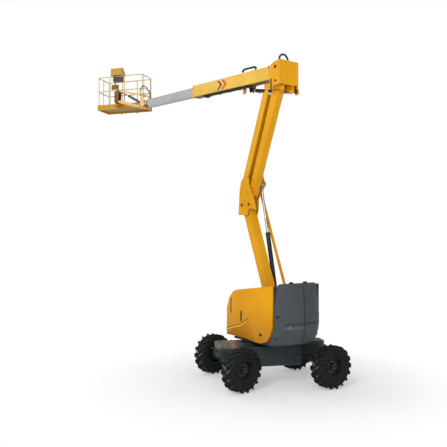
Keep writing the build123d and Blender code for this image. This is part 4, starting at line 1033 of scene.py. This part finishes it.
pads = bmesh.new()
boom_beads = bmesh.new()
for side in (-1, 1):
    y = side * 0.136
    for z in (-0.155, 0.020):
        add_box(pads, (BOOM_L - 0.052, y - 0.003, z - 0.026), (BOOM_L - 0.008, y + 0.003, z + 0.026),
                boom_place, 0.002)
        for dx in (-0.040, -0.020):
            hex_bolt(pads, (BOOM_L + dx, y + side * 0.003, z), (0, side, 0), 0.013, 0.007, boom_place)
    y = side * (BOOM_HALF_W + 0.0004)
    for z in (BOOM_LOW + 0.012, BOOM_HIGH - 0.012):
        weld_bead(boom_beads, ((0.15, y, z), (BOOM_L - 0.065, y, z)), 0.0036, 71 + side, boom_place)
    collar = ((COLLAR_BACK, side * 0.126, BOOM_LOW), (COLLAR_BACK, side * 0.126, BOOM_HIGH))
    weld_bead(boom_beads, collar, 0.005, 74 + side, boom_place)
for y in (-0.07, 0.07):
    for z, up in ((0.0985, 1), (-0.2325, -1)):
        hex_bolt(pads, (BOOM_L - 0.030, y, z), (0, 0, up), 0.016, 0.008, boom_place)
new_piece("collar_screws", pads, boom_enamel, "boom_outer")
new_piece("boom_welds", boom_beads, boom_enamel, "boom_outer")

tray = bmesh.new()
for y in (-0.052, 0.0, 0.052):
    line = ((1.28, y, BOOM_LOW - 0.013), (1.9, y, BOOM_LOW - 0.016), (2.6, y, BOOM_LOW - 0.015),
            (3.24, y, BOOM_LOW - 0.013))
    hose_run(tray, eased(line, 10), 0.013, place=boom_place)
for x in TRAY_STRAPS:
    add_box(tray, (x - 0.018, -0.085, BOOM_LOW - 0.034), (x + 0.018, 0.085, BOOM_LOW - 0.026),
            boom_place, 0.003)
    for y in (-0.075, 0.075):
        add_box(tray, (x - 0.018, y - 0.008, BOOM_LOW - 0.030), (x + 0.018, y + 0.008, BOOM_LOW + 0.001),
                boom_place)
add_box(tray, (3.20, -0.080, BOOM_LOW - 0.052), (3.30, 0.080, BOOM_LOW + 0.001), boom_place, 0.006)
new_piece("boom_hose_tray", tray, rubber, "boom_outer")

hose_clamps = bmesh.new()
for x in (1.10, 1.585):
    add_box(hose_clamps, (x - 0.055, -0.034, BOOM_HIGH), (x + 0.055, 0.034, BOOM_HIGH + 0.006),
            boom_place, 0.002)
    for dx in (-0.042, 0.042):
        hex_bolt(hose_clamps, (x + dx, 0.0, BOOM_HIGH + 0.006), (0, 0, 1), 0.012, 0.006, boom_place)
new_piece("boom_hose_clamps", hose_clamps, zinc, "boom_outer")


# ---- Inner boom ---------------------------------------------------------------------
# The telescoping section slides in the outer boom. It is sprayed plain light
# grey, polished a little on the tracks where the wear pads rub.
inner_enamel = enamel("inner_enamel", (0.420, 0.425, 0.435), 0.42, (0.22, 0.21, 0.20), (0.30, 0.30, 0.30),
                      coat=0.05, soil=0.22, chips=0.2)
height = inner_enamel.split(inner_enamel.about(P_BOOM, "Y_AXIS", BOOM_SLOPE))["Z"]
track = inner_enamel.gap(height, BOOM_MIDDLE)
scratches = inner_enamel.ranged(inner_enamel.cloud(5.0, 6.0, (0.35, 4.0, 6.0)), 0.40, 0.62, 0.0, 0.45)
inner_enamel.tint((0.33, 0.33, 0.34), inner_enamel.product(
    inner_enamel.ranged(track, 0.068, 0.074), inner_enamel.ranged(track, 0.106, 0.100), scratches))
dress_node("boom_inner", inner_enamel)
dress_node("tip_hose", rubber)

tip_trim = bmesh.new()
for side in (-1, 1):
    pin_keeper(tip_trim, P_FOOT.x - 0.045, side * 0.0885, P_FOOT.z, side, 0.040, 0.3)
for u in (6.30, 6.47):
    for y in (-0.055, 0.055):
        hex_bolt(tip_trim, (u, y, 0.0535), (0, 0, 1), 0.016, 0.009, boom_place)
new_piece("boom_tip_bolts", tip_trim, zinc, "boom_inner")


# ---- Jib --------------------------------------------------------------------------------
# Two parallel bars and their own small cylinder carry the platform and keep
# it level. Everything is amber but the black cylinder, and each pin is held
# by a screwed keeper plate.
JIB_BARS = (
    # name, first pin, half width, half height, seed
    ("jib_upper_bar", P_JIB_UP, 0.030, 0.035, 81),
    ("jib_lower_bar", P_JIB_LOW, 0.045, 0.040, 84),
)


def pin_cap(shape, at, y, side, radius):
    """Chamfered end of a pin, standing out of a plate."""
    turned_profile(shape, ((0, 0), (radius, 0), (radius, 0.004), (radius - 0.003, 0.006), (0, 0.006)),
                   aimed((at.x, y, at.z), (0, side, 0)), 28)


jib_trim = bmesh.new()
for at in (P_JIB_UP, P_JIB_LOW, P_FOOT):
    for y, side in ((0.134, 1), (-0.160, -1)):
        pin_cap(jib_trim, at, y, side, 0.030)
        pin_keeper(jib_trim, at.x + 0.030, y, at.z + 0.030, side, 0.034, -0.8)
new_piece("jib_foot_keepers", jib_trim, zinc, "jib_foot")

for name, start, half_w, half_h, seed in JIB_BARS:
    place, size = along_arm(start, start + jib_reach)
    seams = bmesh.new()
    for side in (-1, 1):
        weld_bead(seams, [(x, side * (half_w + 0.0005), 0) for x in (0.055, 0.056)], 0.004, seed, place)
        y = side * (half_w - 0.001)
        for x in (0.050, size - 0.050):
            weld_bead(seams, ((x, y, half_h), (x, y, -half_h)), 0.004, seed + side, place)
    new_piece(name + "_welds", seams, jib_enamel, name)


# ---- Platform mount -----------------------------------------------------------------------
# A brown-amber steel carrier with a helical rotary actuator stands at the
# jib's far end. The actuator's caps are bolted on, and it turns the platform.
ROTATOR_X = 8.600
ROTATOR_BOLTS = 8
rotator_top = (P_JIB_UP + jib_reach).z
rotator_low = (P_JIB_LOW + jib_reach).z
dress_node("platform_mount", enamel("carrier_enamel", (0.230, 0.100, 0.018), 0.5, (0.09, 0.06, 0.035),
                                    (0.12, 0.09, 0.06), soil=0.4, chips=0.4))

mount_trim = bmesh.new()
for k in range(ROTATOR_BOLTS):
    spot = on_circle(0.068, (k + 0.5) / ROTATOR_BOLTS)
    for z, up in ((rotator_top, 1), (rotator_low, -1)):
        hex_bolt(mount_trim, (ROTATOR_X + spot.x, spot.y, z), (0, 0, up), 0.013, 0.008, washer=False)
for at in (P_JIB_LOW + jib_reach, P_JIB_UP + jib_reach):
    for side in (-1, 1):
        pin_cap(mount_trim, at, side * 0.070, side, 0.027)
new_piece("mount_bolts", mount_trim, zinc, "platform_mount")

ribs = bmesh.new()
for z in (rotator_low + 0.045, (rotator_low + rotator_top) / 2, rotator_top - 0.045):
    turned_profile(ribs, ((0.0845, -0.012), (0.089, -0.010), (0.089, 0.010), (0.0845, 0.012)),
                   Matrix.Translation((ROTATOR_X, 0, z)), 48)
for z in (rotator_low + 0.10, rotator_top - 0.10):
    port_boss(ribs, 0.017, (0.014, 0.016, 0.028), (ROTATOR_X + 0.083, 0.0, z), (1, 0, 0))
new_piece("rotator_rings", ribs, gloss_black, "platform_mount")


# ---- Platform ------------------------------------------------------------------------------------
# The work platform: a pan of tread plate with a folded toe board, and a cage
# of welded round tube in amber enamel. Its carrier arms bolt to the rotary
# actuator, and two rope anchors are welded inside the rails.
BASKET_Z = 7.886
BASKET_TURN = math.radians(52.9)
BASKET_IN = 0.214
BASKET_D = 0.790
BASKET_HALF = 0.900
BASKET_H = 1.195
MID_RAIL = 0.56 * BASKET_H
RAIL_R = 0.017
TOE_H = 0.180
FLOOR_Z = 0.0475
STUD_PITCH = 150.0      # radians of the tread's studs per metre
basket_place = Matrix.Translation((ROTATOR_X, 0, BASKET_Z)) @ Matrix.Rotation(-BASKET_TURN, 4, "Z")
x0, x1 = BASKET_IN, BASKET_IN + BASKET_D
bend = RAIL_R + 0.060 * (1 - math.cos(math.pi / 4))    # corner posts stand in the rail's bend
POSTS = (
    # x, y: four corners, then those along the rails
    (x0 + bend, -BASKET_HALF + bend), (x1 - bend, -BASKET_HALF + bend),
    (x1 - bend, BASKET_HALF - bend), (x0 + bend, BASKET_HALF - bend),
    ((x0 + x1) / 2, BASKET_HALF - RAIL_R), (x0 + RAIL_R, -0.180), (x0 + RAIL_R, 0.400), (x1 - RAIL_R, -0.300),
    (x1 - RAIL_R, 0.300), (x0 + 0.130, -BASKET_HALF + RAIL_R), (x1 - 0.130, -BASKET_HALF + RAIL_R),
)


def platform_paint():
    """Platform enamel: scuffed tread plate on the floor, faded rails, painted shade under the pan."""
    made = enamel("platform_enamel", (0.640, 0.340, 0.030), 0.42, (0.24, 0.19, 0.12), (0.24, 0.20, 0.16),
                  coat=0.08, chips=0.45)
    square = made.about((ROTATOR_X, 0, BASKET_Z), "Z_AXIS", BASKET_TURN)
    spot = made.split(square)
    facing = made.facing()
    on_floor = made.product(made.ranged(facing["Z"], 0.90, 0.97), made.ranged(spot["Z"], 0.060, 0.050))
    scuffs = made.ranged(made.cloud(6.0, 8.0, where=square), 0.32, 0.62, 0.25, 0.85)
    made.tint((0.20, 0.17, 0.13), made.product(on_floor, scuffs))
    bars, cross = (made.reckon("SINE", made.product(made.reckon(way, spot["X"], spot["Y"]), STUD_PITCH))
                   for way in ("ADD", "SUBTRACT"))
    studs = made.ranged(made.product(bars, cross), 0.35, 0.75)
    made.relief(made.product(studs, on_floor), 0.8, 0.003)
    made.tint((0.760, 0.640, 0.380), made.ranged(spot["Z"], TOE_H + 0.01, TOE_H + 0.06, 0.0, 0.75))
    # Painted shade: down-facing faces low on the pan are darkened.
    under = made.product(made.ranged(facing["Z"], -0.80, -0.95, 0.0, 0.85),
                         made.ranged(spot["Z"], 0.09, 0.06))
    made.tint((0.270, 0.120, 0.012), under)
    return made


platform_enamel = platform_paint()
for name in ("basket", "basket_gate"):
    dress_node(name, platform_enamel)

cage_beads = bmesh.new()
for k, (px, py) in enumerate(POSTS):
    heights = (FLOOR_Z, BASKET_H - 2 * RAIL_R) if k < 4 else (FLOOR_Z, TOE_H + 0.001, BASKET_H - 2 * RAIL_R)
    for z in heights:
        ring = [Vector((px, py, 0)) + on_circle(0.0165, t / 8, z) for t in range(9)]
        weld_bead(cage_beads, ring, 0.0035, 90 + k, basket_place)
near, far = x0 + 0.005, x1 - 0.005
edge = BASKET_HALF - 0.005
toe_lip = [(x, y, TOE_H) for x, y in ((near, -edge), (far, -edge), (far, edge), (near, edge), (near, -edge))]
hose_run(cage_beads, toe_lip, 0.0035, 8, basket_place)
new_piece("cage_welds", cage_beads, platform_enamel, "platform")

anchors = bmesh.new()
ax = x1 - RAIL_R
for ay in (-0.55, 0.60):
    add_box(anchors, (ax - 0.028, ay - 0.028, MID_RAIL - 0.022), (ax - 0.016, ay + 0.028, MID_RAIL + 0.022),
            basket_place, 0.003)
    turns = [math.radians(20 * t) for t in range(19)]
    ring = [(ax - 0.034 - 0.020 * math.cos(t), ay, MID_RAIL - 0.014 + 0.024 * math.sin(t)) for t in turns]
    hose_run(anchors, ring, 0.005, 8, basket_place)
new_piece("rope_anchors", anchors, zinc, "platform")

gate_trim = bmesh.new()
for gx in (x0 + 0.130, x1 - 0.130):
    z = MID_RAIL + RAIL_R + 0.030 + 0.0003
    for dz in (-0.030, 0.024):
        turned_profile(gate_trim, ((0.0235, 0), (0.0262, 0.0012), (0.0262, 0.0048), (0.0235, 0.006)),
                       basket_place @ Matrix.Translation((gx, -BASKET_HALF + RAIL_R, z + dz)), 28)
new_piece("gate_collars", gate_trim, zinc, "gate")

carrier_bolts = bmesh.new()
for z, up in ((0.056, -1), (0.638, 1)):
    for ax, ay in ((-0.052, -0.044), (-0.052, 0.044), (0.085, -0.044), (0.085, 0.044)):
        hex_bolt(carrier_bolts, (ax, ay, z), (0, 0, up), 0.016, 0.009, basket_place)
new_piece("carrier_bolts", carrier_bolts, zinc, "platform")


# ---- Control console ---------------------------------------------------------------------------
# The operator's desk: an amber moulded hood with a sloping black panel that
# holds two levers, a stop button, rows of toggles and two lamps. A valve box
# hangs below it on the rails. Every place for a label is left blank.
PANEL_T = 0.004
LEVER = (
    # radius, height: ribbed boot, stem and knob
    (0, 0), (0.034, 0), (0.034, 0.003), (0.026, 0.006), (0.028, 0.012), (0.021, 0.016), (0.023, 0.022),
    (0.015, 0.027), (0.016, 0.033), (0.0085, 0.040), (0.0065, 0.062), (0.0135, 0.070), (0.0165, 0.086),
    (0.0155, 0.110), (0.010, 0.119), (0, 0.121),
)
TOGGLE = ((0, 0), (0.0085, 0), (0.0085, 0.004), (0.0060, 0.006), (0.0035, 0.007), (0.0030, 0.019),
          (0.0042, 0.025), (0, 0.027))
SHADED_PARTS = (
    # height where it starts and is full, tone
    (1.215, 1.195, (0.095, 0.080, 0.062)),
    (0.90, 0.88, (0.270, 0.140, 0.012)),
)
console_shell = enamel("console_shell", (0.640, 0.370, 0.075), 0.46, (0.20, 0.16, 0.11), (0.22, 0.19, 0.15),
                       coat=0.05, chips=0.2)
height = console_shell.split(console_shell.about((ROTATOR_X, 0, BASKET_Z), "Z_AXIS", BASKET_TURN))["Z"]
# Painted shade: the shell darkens below each listed height.
for high, low, colour in SHADED_PARTS:
    console_shell.tint(colour, console_shell.ranged(height, high, low, 0.0, 0.9))
dress_node("control_console", console_shell)

slope_top = Vector((x0 + 0.060, 0, 1.468))
slope_low = Vector((x0 + 0.250, 0, 1.270))
down = (slope_low - slope_top).normalized()
across = Vector((0, 1, 0))
slope_turn = Matrix((down, across, down.cross(across))).transposed().to_4x4()
panel_place = basket_place @ Matrix.Translation(slope_top) @ slope_turn

panel = bmesh.new()
add_box(panel, (0.016, -0.082, -0.001), (0.258, 0.322, PANEL_T), panel_place, 0.0015)
new_piece("console_panel", panel, gloss_black, "platform")

controls = bmesh.new()
for y in (-0.010, 0.245):
    turned_profile(controls, LEVER, panel_place @ Matrix.Translation((0.150, y, PANEL_T)), 24)
for k in range(5):
    for row in (0, 1):
        place = panel_place @ Matrix.Translation((0.060 + 0.036 * row, 0.040 + 0.038 * k, PANEL_T))
        turned_profile(controls, TOGGLE, place @ Matrix.Rotation(0.25 - 0.5 * ((k + row) % 2), 4, "Y"), 14)
new_piece("console_levers", controls, rubber, "platform")

red = worn_skin("signal_red", (0.50, 0.014, 0.010), (0.36, 0.020, 0.016), (70.0, 6.0), (0.4, 0.7),
                (0.28, 0.45))
stop = bmesh.new()
turned_profile(stop, ((0, 0), (0.012, 0), (0.012, 0.014), (0.020, 0.018), (0.021, 0.026), (0.017, 0.032),
                      (0, 0.034)), panel_place @ Matrix.Translation((0.205, 0.118, PANEL_T)), 28)
new_piece("stop_button", stop, red, "platform")

lamps = bmesh.new()
for y in (0.168, 0.198):
    turned_profile(lamps, ((0, 0), (0.009, 0), (0.009, 0.004), (0.007, 0.006), (0.0065, 0.010),
                           (0.004, 0.013), (0, 0.014)),
                   panel_place @ Matrix.Translation((0.205, y, PANEL_T)), 18)
new_piece("console_lamps", lamps, zinc, "platform")

desk_trim = bmesh.new()
for y in (-0.088, 0.328):
    for x in (0.030, 0.245):
        hex_bolt(desk_trim, (x, y, 0.0), (0, 0, 1), 0.009, 0.004, panel_place, washer=False)
for y in (0.060, 0.280):
    for z in (0.722, 0.838):
        hex_bolt(desk_trim, (x0 - 0.062, y, z), (-1, 0, 0), 0.010, 0.005, basket_place)
new_piece("console_screws", desk_trim, zinc, "platform")
